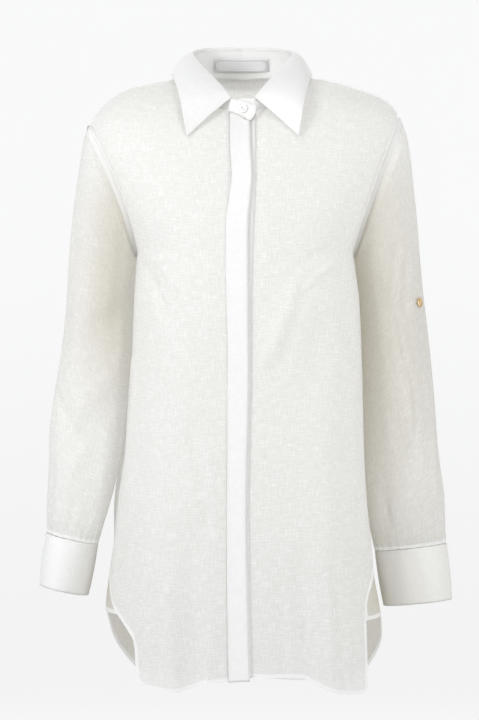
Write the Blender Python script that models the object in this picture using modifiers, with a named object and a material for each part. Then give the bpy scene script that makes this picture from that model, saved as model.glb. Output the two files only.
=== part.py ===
"""A woman's long linen shirt, filled out as if worn, with every piece that is cut and sewn.

Sizes are in millimetres and meshes are made in metres. X runs to the wearer's left, -Y to the
front and Z up. The origin is in the middle of the neck, level with the top of the shoulders.
"""
import math

import bmesh
import bpy
import numpy as np
from mathutils import Vector

MM = 0.001
NAME = "linen_shirt"

# Cloth
WALL = 1.2
DOUBLE_WALL = 2.0
BAND_WALL = 1.2
GAP = 0.3
SEAM = 0.3
CLEAR = 0.3
POINT_MERGE = 0.02

# Body
SIGN = {"right": -1, "left": 1}
TOWARD = {"front": -1, "back": 1}
ROUNDNESS = {"front": 2.5, "back": 2.2}
ARMPIT_Z = -235.0
NOTCH_Z = -642.0
SIDE_Y = -20.0

# Neck, shoulder and yoke
NECK_HALF = 70.0
NECK_FRONT = 80.0
NECK_BACK = 65.0
NECK_RISE = 68.0
NECK_RISE_SPREAD = 0.5
NECK_DROP = 6.5
NECK_DROP_FROM = 4.0
NECK_DROP_WIDTH = 13.0
SHOULDER_SEAM_Y = 15.0
YOKE_Z = -92.0

# Front edges
UNDERLAP = 20.0
STRIP_WALL = 1.0
UNDER_DEPTH = WALL + STRIP_WALL + 2 * GAP + 0.5
UNDER_SLOPE = 16.0
HEM_CORNER = {"right": (0.745, 0.770), "left": (0.885, 0.905)}

# Flap of the back below each notch, which passes forward inside the front
FLAP_TURN = 0.47
FLAP_DROP = 36.0
FLAP_INSET = WALL + GAP + 1.0

# Grids
FRONT_COLUMNS = 14
BACK_COLUMNS = 14
NECK_ROWS = 6
CHEST_ROWS = 4
BACK_ROWS = 7
SKIRT_ROWS = 15
YOKE_BACK_ROWS = 8
SPREAD_POWER = 2.4
FLAP_COLUMNS = 3
NOTCH_ROW = 12
SLEEVE_SIDES = 22
SLEEVE_RINGS = 20

LINEN = (0.86, 0.86, 0.84)
DOUBLE_LINEN = (0.95, 0.95, 0.93)
BUTTON_WHITE = (0.90, 0.90, 0.88)
BUTTON_HONEY = (0.55, 0.33, 0.10)
LABEL_GREY = (0.55, 0.55, 0.54)


class Curve:
    """A smooth curve through a few values, level beyond its ends and never past its points."""

    def __init__(self, places, values):
        self.places = np.array(places, float)
        self.values = np.array(values, float)
        steps = np.diff(self.values) / np.diff(self.places)
        before, after = steps[:-1], steps[1:]
        same_way = before * after > 0
        total = np.where(same_way, before + after, 1.0)
        middle = np.where(same_way, 2 * before * after / total, 0.0)
        self.slopes = np.concatenate([[steps[0]], middle, [steps[-1]]])

    def __call__(self, place):
        place = np.clip(place, self.places[0], self.places[-1])
        last = len(self.places) - 2
        index = np.clip(np.searchsorted(self.places, place, side="right") - 1, 0, last)
        span = self.places[index + 1] - self.places[index]
        t = (place - self.places[index]) / span
        start, end = self.values[index], self.values[index + 1]
        leave, arrive = self.slopes[index] * span, self.slopes[index + 1] * span
        rise = (3 - 2 * t) * t * t
        return start + (end - start) * rise + t * (1 - t) * ((1 - t) * leave - t * arrive)


def table(names, *rows):
    """Named curves. The first column holds the places and each other column a value there."""
    columns = np.array(sorted(rows), float).T
    return {name: Curve(columns[0], column) for name, column in zip(names.split()[1:], columns[1:])}


def smooth_step(value):
    value = np.clip(value, 0.0, 1.0)
    return value * value * (3 - 2 * value)


# Height of the shoulder line at each distance from the middle
RIDGE = table(
    "x     right  left",
    (0,   -22.0, -22.0),
    (35,  -14.0, -14.0),
    (60,   -6.0,  -6.0),
    (72,   -3.5,  -3.5),
    (100,  -8.0,  -6.0),
    (131, -13.0, -13.0),
    (155, -20.0, -20.5),
    (178, -35.0, -28.5),
    (192, -51.0, -37.5),
    (202, -68.0, -48.5),
    (206, -78.0, -56.0),
)

# Half widths at the side seams
HALF_WIDTH = table(
    "z     right  left",
    (-235, 137.0, 143.0),
    (-300, 141.5, 151.5),
    (-370, 144.0, 154.5),
    (-430, 148.5, 156.0),
    (-490, 152.5, 157.5),
    (-555, 162.0, 161.0),
    (-612, 168.0, 167.0),
    (-650, 173.5, 170.0),
    (-700, 178.0, 174.0),
    (-800, 180.0, 180.0),
)

# Depths in front of and behind the side seams, how far each side of the back tail swings out,
# and how far the back swells past the side seam on the wearer's right
DEPTH = table(
    "z     front  back   right  left   swell",
    (-235, 115.0, 125.0,   0.0,   0.0,   0.0),
    (-300, 118.0, 122.0,   0.0,   0.0,   0.0),
    (-370, 119.0, 117.0,   0.0,   0.0,   0.0),
    (-430, 119.0, 117.0,   0.0,   0.0,   5.0),
    (-490, 120.0, 121.0,   0.0,   0.0,  16.0),
    (-555, 121.0, 127.0,   0.0,   0.0,  14.0),
    (-642, 122.0, 134.0,   0.0,   0.0,   0.0),
    (-690, 122.0, 137.0,   1.0,   4.0,   0.0),
    (-740, 122.0, 140.0,   1.0,   9.0,   0.0),
    (-810, 122.0, 144.0,   0.0,   6.0,   0.0),
)

# Hem height at each share of the half width, from the middle to the side seam
HEM = {
    ("front", "right"): Curve(
        (0.00, 0.26, 0.37, 0.49, 0.62, 0.69, 0.745, 0.77, 0.82, 0.87, 0.93, 0.97, 1.00),
        (-776, -779, -786, -791, -788, -786, -777, -731, -716, -704, -690, -672, NOTCH_Z)),
    ("front", "left"): Curve(
        (0.00, 0.42, 0.50, 0.57, 0.72, 0.85, 0.885, 0.905, 0.93, 0.965, 1.00),
        (-771, -773, -780, -788, -796, -797, -791, -694, -676, -660, NOTCH_Z)),
    ("back", "right"): Curve(
        (0.00, 0.40, 0.65, 0.76, 0.90, 0.955, 0.983, 1.00),
        (-806, -804, -798, -790, -758, -736, -714, -698)),
    ("back", "left"): Curve(
        (0.00, 0.50, 0.80, 0.88, 0.95, 0.985, 1.00),
        (-806, -808, -803, -785, -760, -738, -706)),
}

# Placket in X: the band's inner edge, its outer edge, which is the lapping front's own edge, and
# the inner edge of the button stand under it
PLACKET = table(
    "z     band_right  band_left  stand_left",
    (-60,  -17.0,  9.0, 16.5),
    (-102, -16.5,  9.8, 16.5),
    (-141, -14.5, 12.0, 16.5),
    (-172, -18.0,  9.4, 15.0),
    (-202, -21.6,  6.6, 13.5),
    (-240, -22.0,  6.6, 12.5),
    (-373, -19.3,  7.5, 10.5),
    (-565, -19.3,  3.9,  7.5),
    (-678, -18.5,  5.6,  9.0),
    (-780, -17.5,  8.7, 11.0),
)

# Large soft folds of the body: two ends, half width and height. Below zero is a trough.
BODY_FOLDS = (
    # face,  x at top, z at top, x at foot, z at foot, half width, height
    ("front",   82, -262,   30, -400, 20,  5.0),
    ("front",  116, -290,   70, -450, 20, -3.5),
    ("front",   98, -430,  108, -800, 20,  4.5),
    ("front",   72, -590,   78, -800, 14, -4.5),
    ("front",  -92, -300,  -48, -600, 22,  4.0),
    ("front",  -62, -560,  -70, -800, 14, -4.0),
    ("front", -112, -430, -104, -800, 20,  4.0),
    ("back",   -98, -210,  -78, -800, 22,  5.0),
    ("back",   -46, -330,  -30, -800, 20, -5.0),
    ("back",    12, -120,   18, -800, 22,  4.5),
    ("back",    58, -260,   66, -800, 20, -4.5),
    ("back",   104, -230,   96, -800, 22,  5.0),
)
FOLD_FADE = 60.0

ARMHOLE = {
    # top x and z, bottom x, and how much it bends on the way down
    "right": (202.0, -68.0, 137.0, 1.45),
    "left": (206.0, -56.0, 143.0, 1.20),
}
# Depth of the opening's front and back beside the body's, and how fast it closes to the armpit
ARMHOLE_SHARE = {"front": 0.42, "back": 0.70}
ARMHOLE_ROUND = 0.6
# Space between the body and the sleeve's first ring, at shares of the way down
ARMHOLE_SHIFT = Curve((0.0, 0.5, 0.85, 1.0), (1.2, 1.4, 2.0, 2.6))

# Sleeves from the armhole to the cuff seam: outer and inner edge of each ring, and its middle
# and half depth front to back
SLEEVE = {
    "right": table(
        "ring x_out  z_out  x_in   z_in   y_mid  half",
        (1,   207,  -84,  138.5, -241,   -8,  63),
        (2,   212, -110,  139.5, -250,   -2,  65),
        (3,   217, -142,  140.5, -262,    2,  66),
        (4,   223, -185,  141.5, -282,    6,  66),
        (5,   228, -240,  143.0, -312,    8,  65),
        (6,   231, -295,  144.0, -345,    8,  63),
        (7,   237, -355,  146.0, -388,    6,  60),
        (8,   247, -420,  150.0, -436,    2,  56),
        (9,   253, -470,  155.0, -482,   -2,  53),
        (10,  254, -520,  166.0, -532,   -4,  52),
        (11,  256, -570,  180.0, -582,   -6,  51),
        (12,  255.5, -597, 189.8, -612.5, -7, 46),
    ),
    "left": table(
        "ring x_out  z_out  x_in   z_in   y_mid  half",
        (1,   214,  -80,  145.0, -242,   -8,  62),
        (2,   219, -108,  146.5, -251,   -2,  64),
        (3,   223, -142,  148.5, -264,    2,  65),
        (4,   228, -185,  150.0, -284,    6,  65),
        (5,   232, -235,  151.5, -312,    8,  64),
        (6,   236, -280,  153.0, -345,    8,  62),
        (7,   243, -340,  154.5, -388,    8,  59),
        (8,   250, -411,  156.0, -438,    5,  55),
        (9,   256, -491,  158.0, -500,    2,  50),
        (10,  264, -555,  162.0, -560,    0,  45),
        (11,  265, -592,  168.0, -602,    0,  40),
        (12,  265.4, -612, 173.5, -622.5, 0, 34),
    ),
}
CUFF = {
    "right": ((255.8, -598.1, 190.1, -613.1, -7, 46), (264.5, -665.7, 202.5, -679.5, -9, 42)),
    "left": ((265.8, -612.6, 173.9, -623.2, 0, 34), (272.8, -685.6, 185.0, -694.2, -2, 31)),
}
SLEEVE_ROUNDNESS = 2.2
SLEEVE_CLEARANCE = WALL + 0.9
SLEEVE_END = 12
# Degrees round a cuff: how far its ends lap, where it opens and where the lap starts to rise
CUFF_LAP = 24.0
CUFF_OPENING = 250.0
CUFF_RISE_FROM = 345.0
CUFF_RISE = 15.0
CUFF_COLUMNS = 24
CUFF_BUTTON_COLUMN = 23.2

# Bends of the sleeves: ring and turn at each end, half width in rings and height
SLEEVE_FOLDS = {
    "right": (
        (4.2, 175, 7.6, 40, 0.55, -5.0),
        (6.2, 150, 8.8, 60, 0.50, 4.0),
        (7.8, 30, 10.2, 130, 0.50, -3.5),
        (5.0, 200, 8.0, 320, 0.60, -4.0),
    ),
    "left": (
        (4.0, 120, 7.0, 75, 0.55, -4.5),
        (6.5, 95, 8.6, 70, 0.60, 3.5),
        (8.4, 60, 10.4, 140, 0.50, -4.0),
        (5.0, 200, 8.2, 310, 0.60, -4.0),
    ),
}

SLEEVE_FOLD_FADE = 1.5

SEAM_BAND_WIDTH = 10.0
SEAM_BAND_WALL = 1.0
SEAM_BAND_START = 1.5

# Collar stand: its overlapping end from the wearer's right to the wearer's left, in X
OVER_END = table(
    "x     bottom top    y_low  y_high",
    (-15, -56.0, -40.0, -79.0, -80.0),
    (-8,  -58.5, -41.5, -80.5, -81.0),
    (0,   -61.8, -43.2, -82.0, -82.0),
    (9,   -68.2, -46.0, -86.0, -83.5),
    (13,  -64.0, -47.2, -85.0, -84.0),
    (17,  -56.5, -49.5, -84.0, -84.0),
)
# Its underlapping end, from the wearer's left to the wearer's right
UNDER_END = table(
    "x     bottom top    y_low  y_high",
    (-9,  -52.0, -44.0, -76.0, -77.2),
    (-5,  -55.5, -40.0, -76.0, -77.2),
    (5,   -56.5, -38.5, -76.0, -77.2),
    (15,  -55.5, -40.0, -74.8, -76.8),
)
OVER_X = (17.0, 13.0, 9.0, 0.0, -8.0, -15.0)
UNDER_X = (15.0, 5.0, -5.0, -9.0)
STAND_FROM = 24.0
STAND_COLUMNS = 24
STAND_LIFT = 1.9
STAND_BELOW_FOLD = 3.0
STAND_IN = 1.0

# Turned-down collar: fold line and outer edge, front end to middle of the back
COLLAR = table(
    "turn  fold_x fold_y fold_z right  left   edge_y  edge_z puff",
    (0,    15.0, -80.5, -38.0,  71.0,  71.0, -107.0, -90.5,  1.0),
    (12,   22.0, -75.0, -29.0,  76.5,  75.5, -101.0, -60.0,  4.0),
    (30,   37.5, -58.0, -10.0,  83.5,  82.0,  -72.0, -28.0,  6.0),
    (55,   55.5, -30.0,  10.5,  91.0,  88.5,  -32.0,  -6.0,  7.0),
    (90,   66.5,   4.0,  29.5,  93.5,  90.5,    8.0,   0.5,  7.0),
    (125,  54.0,  38.0,  38.5,  80.0,  79.0,   52.0,  -1.5,  7.0),
    (155,  29.0,  57.0,  42.5,  45.0,  45.0,   79.0,  -1.0,  7.0),
    (180,   0.0,  63.5,  43.5,   0.0,   0.0,   88.0,   0.0,  7.0),
)
COLLAR_WALL = 1.6
COLLAR_COLUMNS = 13
COLLAR_ROWS = 4

# Shares of a button's radius and thickness, from the top's middle to the foot's
BUTTON_PROFILE = ((0, 0.75), (0.62, 0.75), (0.78, 1), (0.95, 0.9), (1, 0.5), (0.85, 0), (0, 0))
BUTTON_STEPS = 20
BUTTON_MERGE = 0.02
HOLE_SIDES = 8
BUTTON_OFF = 0.5
BUTTON = {
    # radius, thickness, hole radius, hole distance from the middle
    "collar": (5.7, 2.4, 0.85, 1.75),
    "cuff": (5.6, 2.4, 0.85, 1.6),
    "sleeve": (6.2, 2.4, 0.85, 1.7),
}
COLLAR_BUTTON_AT = (0.6, -52.5)
TAB_WIDTH = 15.0
TAB_LENGTH = 88.0
TAB_WALL = 1.0
SLEEVE_BUTTON = {
    # height and turn round the sleeve from its outer edge, front first
    "right": (-318.0, -28.0),
    "left": (-299.0, 41.0),
}
TAB_HANG = 1.2
TAB_ABOVE = 8.0
TAB_ROWS = 8
LABEL_SIZE = (75.0, 16.0)
LABEL_MIDDLE = (-2.0, 18.5)
LABEL_WALL = 1.0
LABEL_IN = DOUBLE_WALL / 2 + GAP + LABEL_WALL / 2 + 0.6
LABEL_COLUMNS = 8


def outline(share, power):
    """Depth share of a rounded section at a share of its half width."""
    return np.maximum(1 - np.abs(share) ** power, 0.0) ** (1 / power)


def armhole_x(side, down):
    """Distance from the middle to the armhole, at a share of the way down it."""
    top, _, bottom, bend = ARMHOLE[side]
    return bottom + (top - bottom) * (1 - down) ** bend


def armhole_share(side, z):
    top_z = ARMHOLE[side][1]
    return np.clip((top_z - z) / (top_z - ARMPIT_Z), 0.0, 1.0)


def reach(side, face, z):
    """Half width of the whole section: the side seam's, and above it one that passes the arm."""
    down = armhole_share(side, z)
    below_middle = np.clip(2 * down - 1, 0.0, 1.0)
    opening = ARMHOLE_SHARE[face] * (1 - below_middle ** 2) ** ARMHOLE_ROUND
    power = ROUNDNESS[face]
    above = armhole_x(side, down) / (1 - opening ** power) ** (1 / power)
    flare = DEPTH[side](z) if face == "back" else 0.0
    return np.where(z > ARMPIT_Z, above, HALF_WIDTH[side](z) + flare)


def section_y(side, face, x, z):
    """Y of the cloth at a distance from the middle and a height, as if there were no folds."""
    return SIDE_Y + TOWARD[face] * DEPTH[face](z) * outline(x / reach(side, face, z), ROUNDNESS[face])


def fold_height(face, x, z):
    """How far the large folds move the cloth out, at a signed X."""
    height = np.zeros(np.broadcast(x, z).shape)
    for on, x_top, z_top, x_foot, z_foot, half, out in BODY_FOLDS:
        if on != face:
            continue
        along = np.clip((z_top - z) / (z_top - z_foot), 0.0, 1.0)
        offset = (x - x_top - (x_foot - x_top) * along) / half
        starts = smooth_step((z_top - z) / FOLD_FADE)
        ends = 1.0 if z_foot <= -800 else smooth_step((z - z_foot) / FOLD_FADE)
        height = height + out * np.exp(-offset * offset) * starts * ends
    return height


def cloth_point(side, face, x, z, turn=None):
    """A point of the body from its distance to the middle and its height or shoulder turn."""
    x = np.asarray(x, float)
    z = np.asarray(z, float)
    y = section_y(side, face, x, z)
    share = np.clip(np.abs(x) / reach(side, face, z), 0.0, 1.0)
    lean = share ** (ROUNDNESS[face] - 1)
    depth = outline(share, ROUNDNESS[face]) ** (ROUNDNESS[face] - 1)
    length = np.hypot(lean, depth) + 1e-9
    push = fold_height(face, SIGN[side] * x, z)
    if face == "back" and side == "right":
        deep = outline(share, ROUNDNESS[face])
        push = push + DEPTH["swell"](z) * 4 * deep * (1 - deep) * share
    rise = 0.0
    if turn is not None:
        y = y * np.sin(turn)
        push = push * np.sin(turn)
        if face == "back":
            rise = neck_rise(x, y)
    y = y + TOWARD[face] * push * depth / length
    out_x = x + np.sign(x) * push * lean / length
    return np.stack(np.broadcast_arrays(SIGN[side] * out_x, y, z + rise), axis=-1)


def neck_rise(x, y):
    """How far the cloth climbs to the back of the neck."""
    away = np.hypot(x / NECK_HALF, y / NECK_BACK) + 1e-9
    toward_back = np.clip(y / NECK_BACK / away, 0.0, 1.0)
    return NECK_RISE * toward_back ** 2 * np.exp(-((away - 1) / NECK_RISE_SPREAD) ** 2)


def shoulder_point(side, face, x, turn):
    """A point above the armpits, turned down from the shoulder line by an angle."""
    z = ARMPIT_Z + (RIDGE[side](np.abs(x)) - ARMPIT_Z) * np.cos(turn)
    return cloth_point(side, face, x, z, turn)


def turn_for_y(side, face, x, y):
    """The turn at which the cloth is as far forward or back as Y."""
    turn = 0.5
    for _ in range(12):
        z = ARMPIT_Z + (RIDGE[side](np.abs(x)) - ARMPIT_Z) * np.cos(turn)
        turn = np.arcsin(np.clip(y / section_y(side, face, x, z), 0.0, 1.0))
    return turn


def turn_for_z(side, face, x, z):
    """The turn at which the cloth has come down to a height, by halving."""
    low = np.zeros_like(np.asarray(x, float))
    high = np.full_like(low, math.pi / 2)
    for _ in range(30):
        middle = (low + high) / 2
        above = shoulder_point(side, face, x, middle)[..., 2] > z
        low = np.where(above, middle, low)
        high = np.where(above, high, middle)
    return (low + high) / 2


def armhole_turn(side, down):
    x = armhole_x(side, down)
    z = ARMHOLE[side][1] + (ARMPIT_Z - ARMHOLE[side][1]) * down
    cosine = (z - ARMPIT_Z) / (RIDGE[side](x) - ARMPIT_Z)
    return np.arccos(np.clip(cosine, 0.0, 1.0))


def armhole_point(side, face, down):
    return shoulder_point(side, face, armhole_x(side, down), armhole_turn(side, down))


def armhole_start(side, face, z_or_y, by_height):
    """Share down the armhole where a seam meets it, by halving."""
    low, high = 0.0, 1.0
    for _ in range(40):
        middle = (low + high) / 2
        point = armhole_point(side, face, middle)
        before = point[2] > z_or_y if by_height else abs(point[1]) < z_or_y and middle < 0.5
        low, high = (middle, high) if before else (low, middle)
    return (low + high) / 2


def spread(count):
    """Shares across half a panel, closer together where its section bends at the side."""
    return np.sin(np.linspace(0, math.pi / 2, count + 1)) ** (2 / SPREAD_POWER)


def down_at(angle):
    """Share of the way down a sleeve's opening at an angle round it from the top."""
    across = np.sign(np.cos(angle)) * np.abs(np.cos(angle)) ** (2 / SLEEVE_ROUNDNESS)
    return (1 - across) / 2


def angle_at(down):
    """Angle round a sleeve's opening at a share of the way down it."""
    across = 1 - 2 * down
    return math.acos(math.copysign(abs(across) ** (SLEEVE_ROUNDNESS / 2), across))


def armhole_angles(side, face):
    """Angles round the armhole of the rows of a front or of the back."""
    if face == "front":
        start = armhole_start(side, face, SHOULDER_SEAM_Y, by_height=False)
        return np.linspace(angle_at(start), math.pi, NECK_ROWS + CHEST_ROWS + 1)
    start = armhole_start(side, face, YOKE_Z, by_height=True)
    return np.linspace(angle_at(start), math.pi, BACK_ROWS + 1)


def joined(inner, outer, shares):
    return inner[:, None] + (outer - inner)[:, None] * shares[None, :]


def shoulder_seam_turn(side, x):
    return turn_for_y(side, "front", x, -SHOULDER_SEAM_Y)


def front_edge_x(side, z):
    """Distance of a front's own edge from the middle, toward the other side below zero."""
    if side == "right":
        return -PLACKET["band_left"](z) + GAP
    return np.full_like(np.asarray(z, float), -UNDERLAP)


def band_edge_x(side, z):
    """Distance from the middle to the inner edge of the band or strip along a front."""
    return -PLACKET["band_right"](z) if side == "right" else PLACKET["stand_left"](z)


def neck_y(side, angle):
    """Y of the neck seam in front, where the lapping front drops lower past the middle."""
    y = -NECK_FRONT * np.cos(angle)
    if side == "right":
        past = (NECK_DROP_FROM - NECK_HALF * np.sin(angle)) / NECK_DROP_WIDTH
        y = y - NECK_DROP * np.clip(past, 0.0, 1.0)
    return y


def neck_inner(side):
    """Distance from the middle and turn along the neck seam of a front, shoulder to edge."""
    first = math.acos(SHOULDER_SEAM_Y / NECK_FRONT)
    z_neck = np.array(-70.0)
    band = math.asin(float(band_edge_x(side, z_neck)) / NECK_HALF)
    last = math.asin(float(front_edge_x(side, z_neck)) / NECK_HALF)
    angle = np.append(np.linspace(first, band, NECK_ROWS), last)
    x = NECK_HALF * np.sin(angle)
    return x, turn_for_y(side, "front", x, neck_y(side, angle))


def front_columns(edge, band, outer, banded):
    """Distances from the middle along each row: its edge, the band's inner edge, then the rest."""
    plain = joined(edge, outer, spread(FRONT_COLUMNS))
    beside = joined(band, outer, spread(FRONT_COLUMNS - 1))
    with_band = np.concatenate([edge[:, None], beside], axis=1)
    return np.where(banded[:, None], with_band, plain)


def front_grid(side):
    """Rows of one front, from the shoulder seam to the hem, each from its edge to the side."""
    x_neck, turn_neck = neck_inner(side)
    turn_edge = np.linspace(neck_inner("right")[1][-1], math.pi / 2, CHEST_ROWS + 1)[1:]
    z_edge = ARMPIT_Z + (RIDGE[side](0.0) - ARMPIT_Z) * np.cos(turn_edge)
    x_in = np.concatenate([x_neck, front_edge_x(side, z_edge)])
    turn_in = np.concatenate([turn_neck, turn_edge])
    z_in = ARMPIT_Z + (RIDGE[side](np.abs(x_in)) - ARMPIT_Z) * np.cos(turn_in)
    down = down_at(armhole_angles(side, "front"))
    banded = np.arange(len(x_in)) >= NECK_ROWS
    x = front_columns(x_in, band_edge_x(side, z_in), armhole_x(side, down), banded)
    level = np.where(banded, x[:, 1], x[:, 0])[:, None]
    shares = np.maximum(x - level, 0.0) / (x[:, -1:] - level)
    seam = shoulder_seam_turn(side, x)
    part_in = (turn_in - seam[:, 0]) / (math.pi / 2 - seam[:, 0])
    turn_out = armhole_turn(side, down)
    part_out = (turn_out - seam[:, -1]) / (math.pi / 2 - seam[:, -1])
    part = part_in[:, None] + (part_out - part_in)[:, None] * shares
    upper = shoulder_point(side, "front", x, seam + part * (math.pi / 2 - seam))
    grid = np.concatenate([upper, skirt_front(side)])
    return tucked_under(grid) if side == "left" else grid


def skirt_front(side):
    """Rows of one front below the armpit, with columns brought to the hem's two corners."""
    always = np.full(SKIRT_ROWS, True)
    down = np.linspace(0, 1, SKIRT_ROWS + 1)[1:]
    hem = np.full(FRONT_COLUMNS + 1, HEM["front", side](0.5))
    for _ in range(4):
        z = ARMPIT_Z + (hem - ARMPIT_Z)[None, :] * down[:, None]
        outer = reach(side, "front", z[:, -1])
        x = front_columns(front_edge_x(side, z[:, 0]), band_edge_x(side, z[:, 1]), outer, always)
        share = x / outer[:, None]
        share[:, 2:] = toward_corners(side, share[:, 2:], down[:, None])
        hem = HEM["front", side](np.maximum(share[-1], 0.0))
    return cloth_point(side, "front", share * reach(side, "front", z), z)


def toward_corners(side, share, down):
    """Shares of the half width, brought step by step to the hem's corners on the way down."""
    share = share.copy()
    first = int(np.argmin(np.abs(share[-1] - HEM_CORNER[side][0])))
    first = min(first, share.shape[1] - 3)
    for index, corner in zip((first, first + 1), HEM_CORNER[side]):
        share[:, index] += (corner - share[-1, index]) * down[:, 0]
    return share


def tucked_under(grid):
    """The left front goes in behind the right one where they lap."""
    into = 1 - smooth_step((grid[..., 0] - PLACKET["stand_left"](grid[..., 2])) / UNDER_SLOPE)
    return grid - grid_normals(grid) * (UNDER_DEPTH * into)[..., None]


def back_half_grid(side):
    """Rows of half the back, from the yoke seam to the hem, each from the middle to the side."""
    shares = spread(BACK_COLUMNS)
    down = down_at(armhole_angles(side, "back"))
    x = joined(np.zeros(BACK_ROWS + 1), armhole_x(side, down), shares)
    seam = turn_for_z(side, "back", x, YOKE_Z)
    turn_out = armhole_turn(side, down)
    part_out = (turn_out - seam[:, -1]) / (math.pi / 2 - seam[:, -1])
    part = joined(np.linspace(0, 1, BACK_ROWS + 1), part_out, shares)
    upper = shoulder_point(side, "back", x, seam + part * (math.pi / 2 - seam))
    hem = HEM["back", side](shares)
    z = ARMPIT_Z + (hem - ARMPIT_Z)[None, :] * skirt_down(side)[:, None]
    lower = cloth_point(side, "back", reach(side, "back", z) * shares[None, :], z)
    return np.concatenate([upper, lower])


def skirt_down(side):
    """How far down the skirt of the back each row is, with one row's end at the notch."""
    notch = (NOTCH_Z - ARMPIT_Z) / (HEM["back", side](1.0) - ARMPIT_Z)
    above = np.linspace(0, notch, NOTCH_ROW + 1)[1:]
    below = np.linspace(notch, 1, SKIRT_ROWS - NOTCH_ROW + 1)[1:]
    return np.concatenate([above, below])


def back_flap_grid(side, half):
    """The part of the back below a notch that passes forward, inside the front."""
    edge = half[-(SKIRT_ROWS - NOTCH_ROW + 1):, -1]
    z = edge[:, 2]
    turn = FLAP_TURN * smooth_step((NOTCH_Z - z) / FLAP_DROP)
    columns = [edge]
    for index in range(1, FLAP_COLUMNS + 1):
        angle = turn * index / FLAP_COLUMNS
        across = np.cos(angle) ** (2 / ROUNDNESS["front"])
        deep = np.sin(angle) ** (2 / ROUNDNESS["front"])
        inset = FLAP_INSET * smooth_step(angle / (FLAP_TURN / FLAP_COLUMNS))
        swing = DEPTH[side](z) * (1 - index / FLAP_COLUMNS)
        x = (reach(side, "front", z) + swing - inset) * across
        y = SIDE_Y - (DEPTH["front"](z) - inset) * deep
        columns.append(np.stack([SIGN[side] * x, y, z], axis=-1))
    return np.stack(columns, axis=1)


def back_grids():
    """The whole back, and a flap below each notch that passes inside the front."""
    halves = {side: back_half_grid(side) for side in SIGN}
    whole = np.concatenate([halves["right"][:, ::-1], halves["left"][:, 1:]], axis=1)
    whole = pulled_back(whole, top=SEAM, first=SEAM, last=SEAM)
    ends = {"right": whole[:, :1], "left": whole[:, -1:]}
    return [whole] + [back_flap_grid(side, ends[side]) for side in SIGN]


def yoke_half_grid(side):
    """Rows of half the yoke, from its front seam over the shoulder to its back seam."""
    shares = spread(BACK_COLUMNS)
    first = math.acos(SHOULDER_SEAM_Y / NECK_FRONT)
    down_front = down_at(armhole_angles(side, "front")[0])
    x_front = NECK_HALF * math.sin(first)
    x = x_front + (armhole_x(side, down_front) - x_front) * shares
    front = shoulder_point(side, "front", x, shoulder_seam_turn(side, x))
    angle = np.linspace(math.pi / 2, math.pi, YOKE_BACK_ROWS)
    x_neck = NECK_HALF * np.sin(angle)
    turn_neck = turn_for_y(side, "back", x_neck, -NECK_BACK * np.cos(angle))
    x_in = np.append(x_neck, 0.0)
    turn_in = np.append(turn_neck, turn_for_z(side, "back", np.array(0.0), YOKE_Z))
    angle = np.linspace(0, armhole_angles(side, "back")[0], YOKE_BACK_ROWS + 1)
    down = down_at(angle)
    x = joined(x_in, armhole_x(side, down), shares)
    seam = turn_for_z(side, "back", x, YOKE_Z)
    part_in = turn_in / seam[:, 0]
    part_out = armhole_turn(side, down) / seam[:, -1]
    back = shoulder_point(side, "back", x, joined(part_in, part_out, shares) * seam)
    back[1::2, -1] = (back[:-1:2, -1] + back[2::2, -1]) / 2
    return np.concatenate([front[None], back])


def grid_normals(grid):
    """Unit normals of a grid of points, pointing out for rows down and columns to the left."""
    along_row = np.gradient(grid, axis=1)
    along_column = np.gradient(grid, axis=0)
    normals = np.cross(along_column, along_row)
    return normals / (np.linalg.norm(normals, axis=-1, keepdims=True) + 1e-9)


def pulled_back(grid, top=0.0, bottom=0.0, first=0.0, last=0.0):
    """The grid with its edges drawn in from their seams."""
    grid = grid.copy()
    for edge, inner, distance in (
        (np.s_[0, :], np.s_[1, :], top),
        (np.s_[-1, :], np.s_[-2, :], bottom),
        (np.s_[:, 0], np.s_[:, 1], first),
        (np.s_[:, -1], np.s_[:, -2], last),
    ):
        inward = grid[inner] - grid[edge]
        length = np.linalg.norm(inward, axis=-1, keepdims=True) + 1e-9
        grid[edge] = grid[edge] + inward / length * distance
    return grid


def make_material(name, colour, roughness, metallic=0.0):
    material = bpy.data.materials.new(name)
    material.use_nodes = True
    shader = material.node_tree.nodes["Principled BSDF"]
    shader.inputs["Base Color"].default_value = (*colour, 1.0)
    shader.inputs["Roughness"].default_value = roughness
    shader.inputs["Metallic"].default_value = metallic
    material.diffuse_color = (*colour, 1.0)
    return material


def add_object(name, mesh_builder, collection, material):
    """An object whose mesh is filled by a function, with its material and smooth shading."""
    data = bpy.data.meshes.new(name)
    mesh = bmesh.new()
    mesh_builder(mesh)
    bmesh.ops.recalc_face_normals(mesh, faces=mesh.faces)
    mesh.to_mesh(data)
    mesh.free()
    data.shade_smooth()
    data.materials.append(material)
    obj = bpy.data.objects.new(name, data)
    collection.objects.link(obj)
    return obj


def fill_grid(mesh, grid, closed=False):
    """Quads between rows of points. A closed grid joins its last column to its first."""
    rows, columns = grid.shape[:2]
    points = [[mesh.verts.new(tuple(point * MM)) for point in row] for row in grid]
    for i in range(rows - 1):
        for j in range(columns if closed else columns - 1):
            k = (j + 1) % columns
            corners = (points[i][j], points[i + 1][j], points[i + 1][k], points[i][k])
            mesh.faces.new(corners)


def add_cloth(name, grids, collection, material, wall=WALL, closed=False):
    """A piece of cloth: an open surface, given its wall by Solidify."""
    def build(mesh):
        for grid in grids:
            fill_grid(mesh, grid, closed)
        bmesh.ops.remove_doubles(mesh, verts=mesh.verts, dist=POINT_MERGE * MM)

    obj = add_object(name, build, collection, material)
    wall_modifier = obj.modifiers.new("Cloth wall", "SOLIDIFY")
    wall_modifier.thickness = wall * MM
    wall_modifier.offset = 0.0
    return obj


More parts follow.
